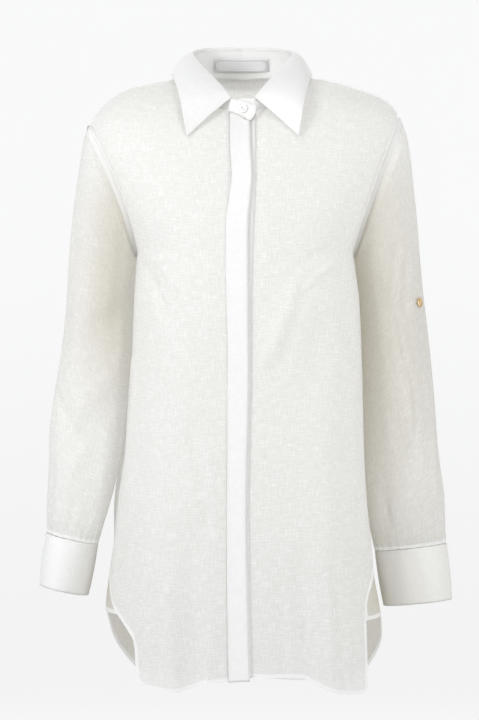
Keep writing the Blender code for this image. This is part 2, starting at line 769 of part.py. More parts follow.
def ring_points(x_out, z_out, x_in, z_in, y_mid, half, side, sides):
    """One ring of a sleeve or cuff, from its outer edge round by the front."""
    angle = np.linspace(0, 2 * math.pi, sides, endpoint=False)
    across = np.sign(np.cos(angle)) * np.abs(np.cos(angle)) ** (2 / SLEEVE_ROUNDNESS)
    deep = np.sign(np.sin(angle)) * np.abs(np.sin(angle)) ** (2 / SLEEVE_ROUNDNESS)
    share = (1 - across) / 2
    x = x_out + (x_in - x_out) * share
    z = z_out + (z_in - z_out) * share
    return np.stack([SIGN[side] * x, y_mid - half * deep, z], axis=-1)


def armhole_ring(side):
    """The sleeve's first ring: the ends of the body's rows, moved out along the arm."""
    front = down_at(np.append(0.0, armhole_angles(side, "front")))
    back = armhole_angles(side, "back")
    over_yoke = np.linspace(back[0], 0, YOKE_BACK_ROWS // 2 + 1)[1:-1]
    back = down_at(np.concatenate([back[::-1][1:], over_yoke]))
    ring = np.concatenate([armhole_point(side, "front", front), armhole_point(side, "back", back)])
    down = np.concatenate([front, back])
    top_x, top_z, bottom_x, _ = ARMHOLE[side]
    along = np.array([SIGN[side] * (top_z - ARMPIT_Z), 0.0, -(top_x - bottom_x)])
    along = along / np.linalg.norm(along)
    return ring + along * ARMHOLE_SHIFT(down)[:, None]


def sleeve_grid(side):
    """Rings of a sleeve from the armhole to the cuff, clear of the body at its side."""
    sizes = SLEEVE[side]
    places = np.concatenate([[0.0], np.linspace(1, SLEEVE_END, SLEEVE_RINGS)])
    rings = [armhole_ring(side)]
    for place in places[1:]:
        values = [float(sizes[name](place)) for name in ("x_out", "z_out", "x_in", "z_in", "y_mid", "half")]
        rings.append(ring_points(*values, side, SLEEVE_SIDES))
    grid = np.stack(rings)
    grid = grid + sleeve_normals(grid) * sleeve_fold_height(side, places)[..., None]
    return clear_of_body(side, grid)


def sleeve_normals(grid):
    """Unit normals of a tube's rings, pointing out."""
    around = np.roll(grid, -1, axis=1) - np.roll(grid, 1, axis=1)
    along = np.gradient(grid, axis=0)
    normals = np.cross(along, around)
    normals = normals / (np.linalg.norm(normals, axis=-1, keepdims=True) + 1e-9)
    middle = grid.mean(axis=1, keepdims=True)
    outward = np.sign(((grid - middle) * normals).sum(axis=(1, 2)))
    return normals * outward[:, None, None]


def sleeve_fold_height(side, places):
    """How far the sleeve's bends move each point out, by ring and turn."""
    turn = np.linspace(0, 360, SLEEVE_SIDES, endpoint=False)[None, :]
    ring = places[:, None]
    height = np.zeros((len(places), SLEEVE_SIDES))
    for ring_a, turn_a, ring_b, turn_b, half, out in SLEEVE_FOLDS[side]:
        along = np.clip((turn - min(turn_a, turn_b)) / abs(turn_b - turn_a), 0, 1)
        if turn_a > turn_b:
            along = 1 - along
        middle = ring_a + (ring_b - ring_a) * along
        inside = smooth_step(along * 4) * smooth_step((1 - along) * 4)
        height += out * np.exp(-((ring - middle) / half) ** 2) * inside
    return height * smooth_step((SLEEVE_END - ring) / SLEEVE_FOLD_FADE)


def body_side_x(side, y, z):
    """Distance from the middle to the body's side, at a depth and height."""
    face_front = y < SIDE_Y
    x = np.zeros_like(y)
    for face, here in (("front", face_front), ("back", ~face_front)):
        share = np.clip(np.abs(y - SIDE_Y) / DEPTH[face](z), 0, 1)
        x = np.where(here, HALF_WIDTH[side](z) * outline(share, ROUNDNESS[face]), x)
        if side == "right" and face == "back":
            x = x + np.where(here, DEPTH["swell"](z) * 4 * share * (1 - share) + CLEAR, 0.0)
    return x


def clear_of_body(side, grid):
    """Moves the inner side of the rings out to just clear of the body."""
    grid = grid.copy()
    sign = SIGN[side]
    least = body_side_x(side, grid[..., 1], grid[..., 2]) + SLEEVE_CLEARANCE
    low = grid[..., 2] < ARMPIT_Z - 4
    distance = sign * grid[..., 0]
    grid[..., 0] = sign * np.where(low, np.maximum(distance, least), distance)
    return grid


def seam_band_grid(sleeve):
    """The turned seam allowance, on the inside of the sleeve along its armhole."""
    start, end = sleeve[0], sleeve[1]
    length = np.linalg.norm(end - start, axis=-1, keepdims=True)
    width = np.minimum(SEAM_BAND_WIDTH, 0.85 * length)
    first = start + (end - start) * SEAM_BAND_START / length
    second = start + (end - start) * width / length
    inward = -(WALL / 2 + GAP + SEAM_BAND_WALL / 2 + 4 * CLEAR)
    normals = sleeve_normals(sleeve)[:2]
    return np.stack([first + normals[0] * inward, second + normals[1] * inward])


def cuff_grid(side):
    """Rows of a cuff, whose two ends lap at the back of the wrist."""
    top, bottom = CUFF[side]
    rows = []
    turn = np.linspace(0, 360 + CUFF_LAP, CUFF_COLUMNS + 1)
    angle = np.radians(CUFF_OPENING + turn)
    lap = smooth_step((turn - CUFF_RISE_FROM) / CUFF_RISE) * (DOUBLE_WALL + GAP + 0.1)
    for share in (0.0, 0.5, 1.0):
        x_out, z_out, x_in, z_in, y_mid, half = [a + (b - a) * share for a, b in zip(top, bottom)]
        across = np.sign(np.cos(angle)) * np.abs(np.cos(angle)) ** (2 / SLEEVE_ROUNDNESS)
        deep = np.sign(np.sin(angle)) * np.abs(np.sin(angle)) ** (2 / SLEEVE_ROUNDNESS)
        x = (x_out + x_in) / 2 + ((x_out - x_in) / 2 + lap) * across
        z = (z_out + z_in) / 2 + (z_out - z_in) / 2 * across
        rows.append(np.stack([SIGN[side] * x, y_mid - (half + lap) * deep, z], axis=-1))
    return np.stack(rows)


def neck_seam_point(angle):
    """A point of the neck seam: 0 degrees at the front, 90 at the wearer's left, 180 behind."""
    side = "left" if math.sin(angle) >= 0 else "right"
    face = "front" if math.cos(angle) >= 0 else "back"
    x = NECK_HALF * abs(math.sin(angle))
    y = -(NECK_FRONT if face == "front" else NECK_BACK) * math.cos(angle)
    return shoulder_point(side, face, np.array(x), turn_for_y(side, face, np.array(x), y))


def stand_grid():
    """Rows of the collar stand, from its over end round the neck to its under end."""
    low, high = [], []
    for x in OVER_X:
        low.append([x, float(OVER_END["y_low"](x)), float(OVER_END["bottom"](x))])
        high.append([x, float(OVER_END["y_high"](x)), float(OVER_END["top"](x))])
    for degrees in np.linspace(-STAND_FROM, STAND_FROM - 360, STAND_COLUMNS + 1):
        angle = math.radians(degrees)
        outward = np.array([math.sin(angle), -math.cos(angle), 0.0])
        low.append(neck_seam_point(angle) + np.array([0.0, 0.0, STAND_LIFT]))
        turn = abs(math.degrees(math.atan2(math.sin(angle), math.cos(angle))))
        side = "left" if math.sin(angle) > 0 else "right"
        fold = collar_line(side, np.array(turn), "fold")
        high.append(fold - outward * STAND_IN - np.array([0.0, 0.0, STAND_BELOW_FOLD]))
    for x in UNDER_X:
        low.append([x, float(UNDER_END["y_low"](x)), float(UNDER_END["bottom"](x))])
        high.append([x, float(UNDER_END["y_high"](x)), float(UNDER_END["top"](x))])
    low, high = np.array(low), np.array(high)
    return np.stack([low, (low + high) / 2, high])


def collar_line(side, turn, line):
    """The fold line or the outer edge of the collar, at degrees round from the front."""
    x = COLLAR["fold_x" if line == "fold" else side](turn)
    return np.stack([SIGN[side] * x, COLLAR[f"{line}_y"](turn), COLLAR[f"{line}_z"](turn)], axis=-1)


def collar_grid():
    """The turned-down collar, from the right front point round the back to the left one."""
    half = np.linspace(0, 180, COLLAR_COLUMNS + 1)
    rows = []
    for share in np.linspace(0, 1, COLLAR_ROWS + 1):
        puff = COLLAR["puff"](half) * 4 * share * (1 - share)
        sides = {}
        for side in SIGN:
            fold, edge = collar_line(side, half, "fold"), collar_line(side, half, "edge")
            sides[side] = fold + (edge - fold) * share + puff[:, None] * np.array([0.0, 0.0, 1.0])
        rows.append(np.concatenate([sides["right"], sides["left"][::-1][1:]]))
    return np.array(rows)


def edge_strip(side, front, away):
    """A strip along a front's edge, on the front's own points, moved off it by a distance."""
    outward = SIGN[side] * grid_normals(front)
    strip = (front + outward * away)[NECK_ROWS - 1:, :2].copy()
    strip[0, 1] = strip[0, 0]
    return strip


def point_on(grid, row, column):
    """A point between the points of a grid, at a row and column that need not be whole."""
    row = np.clip(row, 0, grid.shape[0] - 1.001)
    i, u = int(row), row - int(row)
    j, v = int(math.floor(column)), column - math.floor(column)
    a, b = j % grid.shape[1], (j + 1) % grid.shape[1]
    above = grid[i, a] * (1 - v) + grid[i, b] * v
    below = grid[i + 1, a] * (1 - v) + grid[i + 1, b] * v
    return above * (1 - u) + below * u


def row_for_z(grid, column, z):
    """The row at which a column of a grid has come down to a height."""
    heights = [point_on(grid, row, column)[2] for row in range(grid.shape[0])]
    return float(np.interp(-z, -np.array(heights), np.arange(grid.shape[0])))


def sleeve_spot(side, sleeve):
    """Row and column of a sleeve's button."""
    z, degrees = SLEEVE_BUTTON[side]
    column = degrees / 360 * SLEEVE_SIDES
    return row_for_z(sleeve, column, z), column


def tab_grid(side, sleeve):
    """The tab that hangs from the sleeve button, inside the sleeve."""
    normals = sleeve_normals(sleeve)
    column = sleeve_spot(side, sleeve)[1]
    z_top = SLEEVE_BUTTON[side][0] + TAB_ABOVE
    rows = []
    for share in np.linspace(0, 1, TAB_ROWS + 1):
        hang = GAP + TAB_HANG * smooth_step(share * 3)
        inner = sleeve - normals * (WALL / 2 + hang + TAB_WALL / 2)
        row = row_for_z(inner, column, z_top - TAB_LENGTH * share)
        across = point_on(inner, row, column + 0.5) - point_on(inner, row, column - 0.5)
        half = TAB_WIDTH / 2 / np.linalg.norm(across)
        rows.append([point_on(inner, row, column + half * part) for part in (-1, 0, 1)])
    return np.array(rows)


def label_grid(stand):
    """The plain label, on the inside of the stand at the back of the neck."""
    middle = len(OVER_X) + STAND_COLUMNS // 2
    half = LABEL_SIZE[0] / 2
    near = np.arange(middle - 5, middle + 6)
    x_middle, z_middle = LABEL_MIDDLE
    x = np.linspace(x_middle - half, x_middle + half, LABEL_COLUMNS + 1)
    columns = np.interp(x, stand[1, near, 0], near)
    rows = []
    for z in (z_middle + LABEL_SIZE[1] / 2, z_middle - LABEL_SIZE[1] / 2):
        row = []
        for column in columns:
            foot, head = point_on(stand, 0, column), point_on(stand, 2, column)
            point = foot + (head - foot) * (z - foot[2]) / (head[2] - foot[2])
            toward = np.array([point[0], point[1], 0.0])
            row.append(point - toward / np.linalg.norm(toward) * LABEL_IN)
        rows.append(row)
    return np.array(rows)


def place_button(name, spot, kind, collection, cutters, material):
    """A turned button with a raised rim and two holes, at a point and facing along a normal."""
    centre, normal = spot
    radius, thickness, hole, apart = BUTTON[kind]
    centre = centre + normal * BUTTON_OFF
    aim = Vector(tuple(normal)).to_track_quat("Z", "Y")
    data = bpy.data.meshes.new(name)
    mesh = bmesh.new()
    points = [mesh.verts.new((r * radius * MM, 0.0, h * thickness * MM)) for r, h in BUTTON_PROFILE]
    for first, second in zip(points, points[1:]):
        mesh.edges.new((first, second))
    mesh.to_mesh(data)
    mesh.free()
    data.materials.append(material)
    obj = bpy.data.objects.new(name, data)
    collection.objects.link(obj)
    turned = obj.modifiers.new("Turned profile", "SCREW")
    turned.steps = turned.render_steps = BUTTON_STEPS
    turned.use_merge_vertices = True
    turned.merge_threshold = BUTTON_MERGE * MM
    turned.use_normal_calculate = True
    obj.rotation_mode = "QUATERNION"
    obj.rotation_quaternion = aim
    obj.location = tuple(centre * MM)
    for way in (-1, 1):
        bpy.ops.mesh.primitive_cylinder_add(vertices=HOLE_SIDES, radius=hole * MM,
                                            depth=4 * thickness * MM)
        cutter = bpy.context.object
        cutter.name = f"{name}_hole_{way}"
        aside = aim @ Vector((way * apart * math.sqrt(0.5), -way * apart * math.sqrt(0.5), 0.0))
        cutter.location = tuple((centre + np.array(aside)) * MM)
        cutter.rotation_mode = "QUATERNION"
        cutter.rotation_quaternion = aim
        cutter.hide_render = True
        cutter.display_type = "WIRE"
        for owner in list(cutter.users_collection):
            owner.objects.unlink(cutter)
        cutters.objects.link(cutter)
        cut = obj.modifiers.new("Thread hole", "BOOLEAN")
        cut.operation = "DIFFERENCE"
        cut.object = cutter


def surface_spot(grid, row, column, wall, centre):
    """The outer surface of a piece at a place of its grid, and the direction away from a centre."""
    point = point_on(grid, row, column)
    down = point_on(grid, row + 0.5, column) - point_on(grid, max(row - 0.5, 0), column)
    across = point_on(grid, row, column + 0.5) - point_on(grid, row, column - 0.5)
    normal = np.cross(down, across)
    normal = normal / np.linalg.norm(normal)
    if normal @ (point - centre) < 0:
        normal = -normal
    return point + normal * wall / 2, normal


def clear_scene():
    for obj in list(bpy.data.objects):
        bpy.data.objects.remove(obj, do_unlink=True)


def main():
    clear_scene()
    shirt = bpy.data.collections.new(NAME)
    cutters = bpy.data.collections.new("cutters")
    for collection in (shirt, cutters):
        bpy.context.scene.collection.children.link(collection)
    linen = make_material("sheer_linen", LINEN, 0.85)
    double = make_material("double_linen", DOUBLE_LINEN, 0.8)
    white = make_material("white_button", BUTTON_WHITE, 0.3)
    honey = make_material("honey_button", BUTTON_HONEY, 0.25)
    grey = make_material("label_cloth", LABEL_GREY, 0.6)

    fronts = {side: front_grid(side) for side in SIGN}
    for side in SIGN:
        add_cloth(f"front_{side}", [pulled_back(fronts[side], top=SEAM, last=SEAM)], shirt, linen)
    add_cloth("back", back_grids(), shirt, linen)
    yoke = [pulled_back(yoke_half_grid(side), top=SEAM, bottom=SEAM) for side in SIGN]
    add_cloth("yoke", yoke, shirt, linen)

    for side in SIGN:
        sleeve = sleeve_grid(side)
        add_cloth(f"sleeve_{side}", [sleeve], shirt, linen, closed=True)
        band = seam_band_grid(sleeve)
        add_cloth(f"armhole_band_{side}", [band], shirt, double, SEAM_BAND_WALL, closed=True)
        add_cloth(f"sleeve_tab_{side}", [tab_grid(side, sleeve)], shirt, linen, TAB_WALL)
        spot = surface_spot(sleeve, *sleeve_spot(side, sleeve), WALL, sleeve.mean(axis=(0, 1)))
        place_button(f"sleeve_button_{side}", spot, "sleeve", shirt, cutters, honey)
        cuff = cuff_grid(side)
        add_cloth(f"cuff_{side}", [cuff], shirt, double, DOUBLE_WALL)
        spot = surface_spot(cuff, 1.0, CUFF_BUTTON_COLUMN, DOUBLE_WALL, cuff.mean(axis=(0, 1)))
        place_button(f"cuff_button_{side}", spot, "cuff", shirt, cutters, white)

    stand = stand_grid()
    add_cloth("collar_stand", [stand], shirt, double, DOUBLE_WALL)
    add_cloth("collar", [collar_grid()], shirt, double, COLLAR_WALL)
    add_cloth("label", [label_grid(stand)], shirt, grey, LABEL_WALL)
    column = float(np.interp(-COLLAR_BUTTON_AT[0], -np.array(OVER_X), np.arange(len(OVER_X))))
    spot = surface_spot(stand, row_for_z(stand[::-1], column, COLLAR_BUTTON_AT[1]), column,
                        DOUBLE_WALL, np.zeros(3))
    place_button("collar_button", spot, "collar", shirt, cutters, white)
    away = WALL / 2 + GAP + BAND_WALL / 2 + CLEAR
    add_cloth("placket_band", [edge_strip("right", fronts["right"], away)], shirt, double, BAND_WALL)
    away = WALL / 2 + GAP + STRIP_WALL / 2 + CLEAR / 2
    add_cloth("button_stand", [edge_strip("left", fronts["left"], away)], shirt, double, STRIP_WALL)


main()
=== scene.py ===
"""Looks of a woman's long sheer linen shirt, filled out as if worn.

Forms are worked out in millimetres and made in metres. X runs to the wearer's left, -Y to the
front and Z up. The origin is in the middle of the neck, level with the top of the shoulders.
"""
import math

import bmesh
import bpy
import numpy as np
from mathutils import Matrix, Vector
from mathutils.kdtree import KDTree


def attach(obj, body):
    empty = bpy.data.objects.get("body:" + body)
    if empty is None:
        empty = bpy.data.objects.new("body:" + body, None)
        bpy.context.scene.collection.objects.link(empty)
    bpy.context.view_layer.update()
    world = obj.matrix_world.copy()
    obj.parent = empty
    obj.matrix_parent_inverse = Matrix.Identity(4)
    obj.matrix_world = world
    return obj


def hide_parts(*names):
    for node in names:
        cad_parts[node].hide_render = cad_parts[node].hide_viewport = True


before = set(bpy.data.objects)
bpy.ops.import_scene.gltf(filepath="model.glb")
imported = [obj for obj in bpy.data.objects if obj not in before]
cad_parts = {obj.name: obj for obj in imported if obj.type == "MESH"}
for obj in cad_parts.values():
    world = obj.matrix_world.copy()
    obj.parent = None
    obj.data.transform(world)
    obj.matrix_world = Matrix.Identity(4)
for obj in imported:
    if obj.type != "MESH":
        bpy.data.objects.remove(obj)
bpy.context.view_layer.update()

MM = 0.001

# Cloth
WALL = 1.2
DOUBLE_WALL = 2.0
GAP = 0.3
CLEAR = 0.3

# Body
SIGN = {"right": -1, "left": 1}
TOWARD = {"front": -1, "back": 1}
ROUNDNESS = {"front": 2.5, "back": 2.2}
ARMPIT_Z = -235.0
NOTCH_Z = -642.0
SIDE_Y = -20.0

# Neck, shoulder and yoke
NECK_HALF = 70.0
NECK_FRONT = 80.0
NECK_BACK = 65.0
NECK_RISE = 68.0
NECK_RISE_SPREAD = 0.5
NECK_DROP = 6.5
NECK_DROP_FROM = 4.0
NECK_DROP_WIDTH = 13.0
SHOULDER_SEAM_Y = 15.0
YOKE_Z = -92.0
NECK_EDGE_Z = -70.0
YOKE_THREAD = (0.8, 0.9)

# Front edges
UNDERLAP = 20.0
UNDER_DEPTH = 3.3
UNDER_SLOPE = 16.0
BAND_OUT = 1.2
STRIP_OUT = 1.0

# Flap of the back below each notch, which passes forward inside the front
FLAP_TURN = 0.47
FLAP_DROP = 36.0
FLAP_INSET = 2.5

# Grids, finer than the solids'
BAND_COLUMNS = 8
FRONT_COLUMNS = 100
BACK_COLUMNS = 84
NECK_ROWS = 50
EDGE_ROWS = 10
CHEST_ROWS = 40
YOKE_FRONT_ROWS = 8
BACK_ROWS = 60
SKIRT_ROWS = 170
YOKE_BACK_ROWS = 40
YOKE_MIDDLE_ROWS = 4
NOTCH_ROW = 136
FLAP_COLUMNS = 14
SPREAD_POWER = 2.4
SLEEVE_SIDES = 150
SLEEVE_RINGS = 210
SLEEVE_LEVEL = 110
SLEEVE_START = 0.3
CUFF_COLUMNS = 170
CUFF_ROWS = 26
CUFF_BELLY = 1.0
STAND_ROWS = 14
TAB_COLUMNS = 10
LABEL_ROWS = 10
SEAM_BAND_ROWS = 8
SEAM_BAND_INSET = 0.8

# Where the collar comes up over its fold, from the stand: across and up
COLLAR_ROLL = ((-1.0, -3.2), (-0.95, -2.0), (-0.75, -0.9), (-0.4, -0.2))

# Fine gathers where the sleeve meets its cuff
GATHER_HEIGHT = 0.7
GATHERS = 22
GATHER_WANDER = (1.3, 23)
GATHER_FROM = (11.2, 0.5)

# Rings of a sleeve in its table, and how many the bends take to fade at the cuff
LAST_RING = 12
BEND_FADE = 1.5
BODY_SIDE_BELOW = 4

# Small creases of the sleeves: turn and height at each end, half width, and how far out, which
# CREASE_DEPTH then deepens
SLEEVE_CREASES = {
    "right": (
        (70, -300, 120, -420, 7, 1.6),
        (20, -405, 60, -455, 6, -2.0),
        (100, -470, 60, -560, 8, 1.8),
        (40, -500, 30, -590, 7, -1.6),
        (130, -560, 120, -612, 6, 1.4),
        (90, -540, 85, -606, 5, -1.4),
        (160, -520, 110, -420, 9, -1.8),
        (15, -170, 50, -250, 9, -1.5),
        (128, -180, 122, -400, 15, -2.6),
        (30, -415, 30, -485, 4, -1.4),
        (240, -300, 200, -420, 8, 1.8),
        (300, -360, 250, -470, 8, -2.0),
        (280, -500, 260, -600, 7, 1.6),
        (330, -430, 320, -560, 8, -1.6),
    ),
    "left": (
        (60, -230, 75, -330, 9, -2.2),
        (95, -300, 60, -420, 8, 1.8),
        (110, -420, 70, -520, 8, -1.8),
        (30, -440, 45, -560, 8, 1.6),
        (80, -520, 75, -606, 6, 1.4),
        (50, -560, 48, -612, 5, -1.4),
        (130, -540, 110, -610, 6, -1.5),
        (20, -150, 45, -240, 9, -1.5),
        (75, -210, 97, -310, 9, -2.4),
        (250, -280, 210, -400, 8, 1.8),
        (310, -350, 260, -460, 8, -2.0),
        (285, -500, 262, -600, 7, 1.6),
        (335, -420, 325, -560, 8, -1.6),
    ),
}
SLEEVE_CREASE_FADE = 24.0
SLEEVE_CREASE_FROM = 1.5

# How far the top of a strip goes into the stand: back at its sides and more at its middle, then up
STRIP_TUCK = (0.8, 2.4, 3.0, 4.5)
STRIP_MIDDLE = (2.0, 9.0)

# Dents of the cuffs: degrees round from the outer edge at top and foot, half width and height
CUFF_DENTS = {
    "right": ((128, 112, 24, -1.8), (82, 90, 16, 0.8)),
    "left": ((92, 88, 9, -1.2), (60, 66, 20, 0.6)),
}

# Shade on a cuff: all over, toward the body, and the degrees at which that starts, which lean
# toward the foot and soften over a span
CUFF_SHADE = {"right": (0.03, 0.14, 95), "left": (0.16, 0.14, 70)}
CUFF_SHADE_LEAN = 22
CUFF_SHADE_SPAN = 60

# Shade round a sleeve, in degrees from its outer edge: on the right, how deep, its middle and its
# half width; on the left, the least, the rise and the degrees over which it rises
ARM_SHADE = {"right": (0.50, 112, 46), "left": (0.09, 0.54, 185)}
# Shade down a sleeve: where it sets in and over what height, where it fades and over what height,
# and how much of it fades
ARM_SHADE_DOWN = {"right": (-90, 90, -300, 180, 1.0), "left": (-60, 120, -330, 260, 0.5)}

# Shade inside the low part of the back: how deep, the height and the distance from the middle at
# which it sets in, each with the span over which it does
INSIDE_SHADE = 0.5
INSIDE_SHADE_DOWN = (-560, 90)
INSIDE_SHADE_ASIDE = (95, 60)

# Sewing, weave and cloth colours
HEM_WIDTH = 5.5
SEAM_WIDTH = 6.0
STITCH_HALF = 0.35
STITCH_LENGTH = 2.6
WEAVE_PITCH = 0.8
GROOVE_DEPTH = 2.8
GROOVE_AT = 4.0
GROOVE_HALF = 3.0
GROOVE_FADE = 1.2

# Puckers of the armhole's stitches: height, length along the seam, how they wander, and where
# they lie beside the seam with their half width
PUCKER = 0.35
PUCKER_LENGTH = 2.9
PUCKER_WANDER = (1.7, 13)
PUCKER_PLACE = (5, 6)

# How much faster than SEAM_WIDTH the white line of each seam ends
SEAM_ENDS = {"shoulder": 1.1, "yoke": 0.8, "armhole": 3.0, "sleeve": 0.6, "cuff": 1.2, "under": 1.3}
# The sleeve's white line at the armhole: its least width and how much wider it is at the top
SLEEVE_LINE = (0.6, 0.4)

# Slubs and thin places of the linen: pitch across and along a thread, and where slubs start
SLUB = (0.68, 0.06)
SLUB_FROM = (0.50, 0.68)
THIN = (1.2, 0.09)
# Steps between the patterns of one piece: its weft's slubs, and its thin warp and weft
PATTERN_STEPS = (31.0, 5.0, 9.0)

# Sheer linen. What slubs and thin places add to its cover, what they and turned edges add to its
# tone, and the relief of slubs, thin places, weave, turned edges and stitches
SHEER_COVERS = (0.10, 0.25)
TURNED_COVER = 0.985
SHEER_TONE = 0.35
SHEER_TONES = (0.30, 0.8, 0.35)
SHEER_RELIEF = (0.25, 0.5, 0.06, 0.8, -0.5)

# Double linen. What slubs and thin places add to its tone, and the relief of slubs, thin places,
# weave, stitches and its thinner rim
DOUBLE_TONE = 0.5
DOUBLE_TONES = (0.3, 1.1)
DOUBLE_RELIEF = (0.18, 0.4, 0.05, -0.6, -0.4)
RIM_WIDTH = 2.0
LABEL_RIB = 4.2

# Rows of stitches: how far inside a turned edge, from the edge of double cloth and of the label,
# and the share of each stitch that shows, with its soft ends
STITCH_IN = 0.9
DOUBLE_STITCH_AT = 2.6
LABEL_STITCH_AT = 1.4
STITCH_SHARE = 0.72
STITCH_SOFT = 0.08
TURN_SOFT = (0.5, 0.3)

SHEER_COVER = 0.80
SHEER_THROUGH = 0.38
DOUBLE_THROUGH = 0.15
LINEN_THIN = (0.865, 0.855, 0.82, 1)
LINEN_THICK = (0.94, 0.935, 0.915, 1)
DOUBLE_THIN = (0.83, 0.825, 0.80, 1)
DOUBLE_THICK = (0.91, 0.905, 0.885, 1)
HEM_COLOUR = (0.975, 0.97, 0.955, 1)
# Painted shade: the warm dark colour that the shade attribute blends into the cloth's own colour on
# the sleeves, cuffs and low back, where the body and arms would shade it
SHADE_COLOUR = (0.56, 0.51, 0.38, 1)
STITCH_COLOUR = (0.74, 0.73, 0.70, 1)
LABEL_GREY = (0.66, 0.66, 0.655, 1)
LABEL_STITCH = (0.30, 0.30, 0.30, 1)
WHITE_SHELL = ((0.80, 0.80, 0.79, 1), (0.93, 0.93, 0.91, 1))
HONEY_SHELL = ((0.50, 0.30, 0.10, 1), (0.82, 0.62, 0.34, 1))
THREAD_COLOURS = ((0.72, 0.71, 0.67, 1), (0.86, 0.85, 0.81, 1))

# Where each piece's threads start in the slub pattern, so that no two pieces look alike
SEED = {"front": 1.0, "back": 4.0, "yoke": 6.0, "sleeve": 8.0, "band": 11.0, "strip": 12.0,
        "allowance": 13.0, "tab": 14.0, "cuff": 15.0, "stand": 17.0, "collar": 19.0, "label": 21.0}
# Walls of the shells that are thinner than their solids, and of the sleeve under its button
SHELL = {"band": 0.8, "strip": 0.6, "allowance": 0.6, "tab": 0.8, "stand": 1.8, "label": 0.6,
         "sleeve": 0.4}

# Points are merged within a hundredth of a millimetre, and lines are measured in short steps
MERGE_DIGITS = 2
LINE_STEP = 1.5
FAR = 999.0

# Studio
FLOOR_Z = -1.30
FLOOR_RADIUS = 4.0
BOWL_REACH = 3.2
BOWL_CURVE = 2.6
WALL_TOP = 4.5
FLOOR_STEPS = 96
FLOOR_MERGE = 0.0001
SKY_COLOUR = (0.975, 0.99, 1.02)
SKY_STRENGTH = 0.475
LIGHTS = (
    # name, place, aim, size, watts, colour
    ("key", (-1.45, -1.45, 0.30), (0.0, 0.0, -0.4), 0.7, 24, (0.975, 0.99, 1.02)),
    ("fill", (1.0, -1.85, -0.6), (0.0, 0.0, -0.45), 0.9, 16, (0.98, 0.99, 1.0)),
    ("left side", (-1.9, -0.1, -0.4), (0.0, 0.0, -0.4), 1.0, 7, (0.98, 0.99, 1.02)),
    ("right side", (1.9, -0.1, -0.4), (0.0, 0.0, -0.4), 1.0, 8, (0.98, 0.99, 1.0)),
    ("top", (0.35, -1.0, 1.1), (0.0, 0.0, -0.03), 0.6, 5, (0.99, 0.99, 0.99)),
    ("back", (0.1, 1.6, 1.2), (0.0, 0.0, 0.0), 0.8, 22, (1.0, 0.99, 0.97)),
)
# Painted light: the paper glows by itself, from the low colour near the floor to the high one up
# the wall, over these heights in metres and at this strength
PAPER_GLOW_LOW = (0.91, 0.91, 0.90, 1)
PAPER_GLOW_HIGH = (1.0, 1.0, 1.0, 1)
PAPER_GLOW_FADE = (-1.6, 0.3)
PAPER_GLOW_STRENGTH = 0.66
PAPER = ((0.55, 0.547, 0.54, 1), (0.557, 0.553, 0.547, 1))
CAMERA_AT = (-4.4, -3145.0, -373.5)
CAMERA_LENS = 120.0
CAMERA_SENSOR = 36.0


class Curve:
    """A smooth curve through a few values, level beyond its ends and never past its points."""

    def __init__(self, places, values):
        self.places = np.array(places, float)
        self.values = np.array(values, float)
        steps = np.diff(self.values) / np.diff(self.places)
        before, after = steps[:-1], steps[1:]
        same_way = before * after > 0
        total = np.where(same_way, before + after, 1.0)
        middle = np.where(same_way, 2 * before * after / total, 0.0)
        self.slopes = np.concatenate([[steps[0]], middle, [steps[-1]]])

    def __call__(self, place):
        place = np.clip(place, self.places[0], self.places[-1])
        last = len(self.places) - 2
        index = np.clip(np.searchsorted(self.places, place, side="right") - 1, 0, last)
        span = self.places[index + 1] - self.places[index]
        t = (place - self.places[index]) / span
        start, end = self.values[index], self.values[index + 1]
        leave, arrive = self.slopes[index] * span, self.slopes[index + 1] * span
        rise = (3 - 2 * t) * t * t
        return start + (end - start) * rise + t * (1 - t) * ((1 - t) * leave - t * arrive)


def table(names, *rows):
    """Named curves. The first column holds the places and each other column a value there."""
    columns = np.array(sorted(rows), float).T
    return {name: Curve(columns[0], column) for name, column in zip(names.split()[1:], columns[1:])}


def smooth_step(value):
    value = np.clip(value, 0.0, 1.0)
    return value * value * (3 - 2 * value)


# Height of the shoulder line at each distance from the middle
RIDGE = table(
    "x     right  left",
    (0,   -22.0, -22.0),
    (35,  -14.0, -14.0),
    (60,   -6.0,  -6.0),
    (72,   -3.5,  -3.5),
    (100,  -8.0,  -6.0),
    (131, -13.0, -13.0),
    (155, -20.0, -20.5),
    (178, -35.0, -28.5),
    (192, -51.0, -37.5),
    (202, -68.0, -48.5),
    (206, -78.0, -56.0),
)

# Half widths at the side seams
HALF_WIDTH = table(
    "z     right  left",
    (-235, 137.0, 143.0),
    (-300, 141.5, 151.5),
    (-370, 144.0, 154.5),
    (-430, 148.5, 156.0),
    (-490, 152.5, 157.5),
    (-555, 162.0, 161.0),
    (-612, 168.0, 167.0),
    (-650, 173.5, 170.0),
    (-700, 178.0, 174.0),
    (-800, 180.0, 180.0),
)

# Depths in front of and behind the side seams, how far each side of the back tail swings out,
# and how far the back swells past the side seam on the wearer's right
DEPTH = table(
    "z     front  back   right  left   swell",
    (-235, 115.0, 125.0,   0.0,   0.0,   0.0),
    (-300, 118.0, 122.0,   0.0,   0.0,   0.0),
    (-370, 119.0, 117.0,   0.0,   0.0,   0.0),
    (-430, 119.0, 117.0,   0.0,   0.0,   5.0),
    (-490, 120.0, 121.0,   0.0,   0.0,  16.0),
    (-555, 121.0, 127.0,   0.0,   0.0,  14.0),
    (-642, 122.0, 134.0,   0.0,   0.0,   0.0),
    (-690, 122.0, 137.0,   1.0,   4.0,   0.0),
    (-740, 122.0, 140.0,   1.0,   9.0,   0.0),
    (-810, 122.0, 144.0,   0.0,   6.0,   0.0),
)

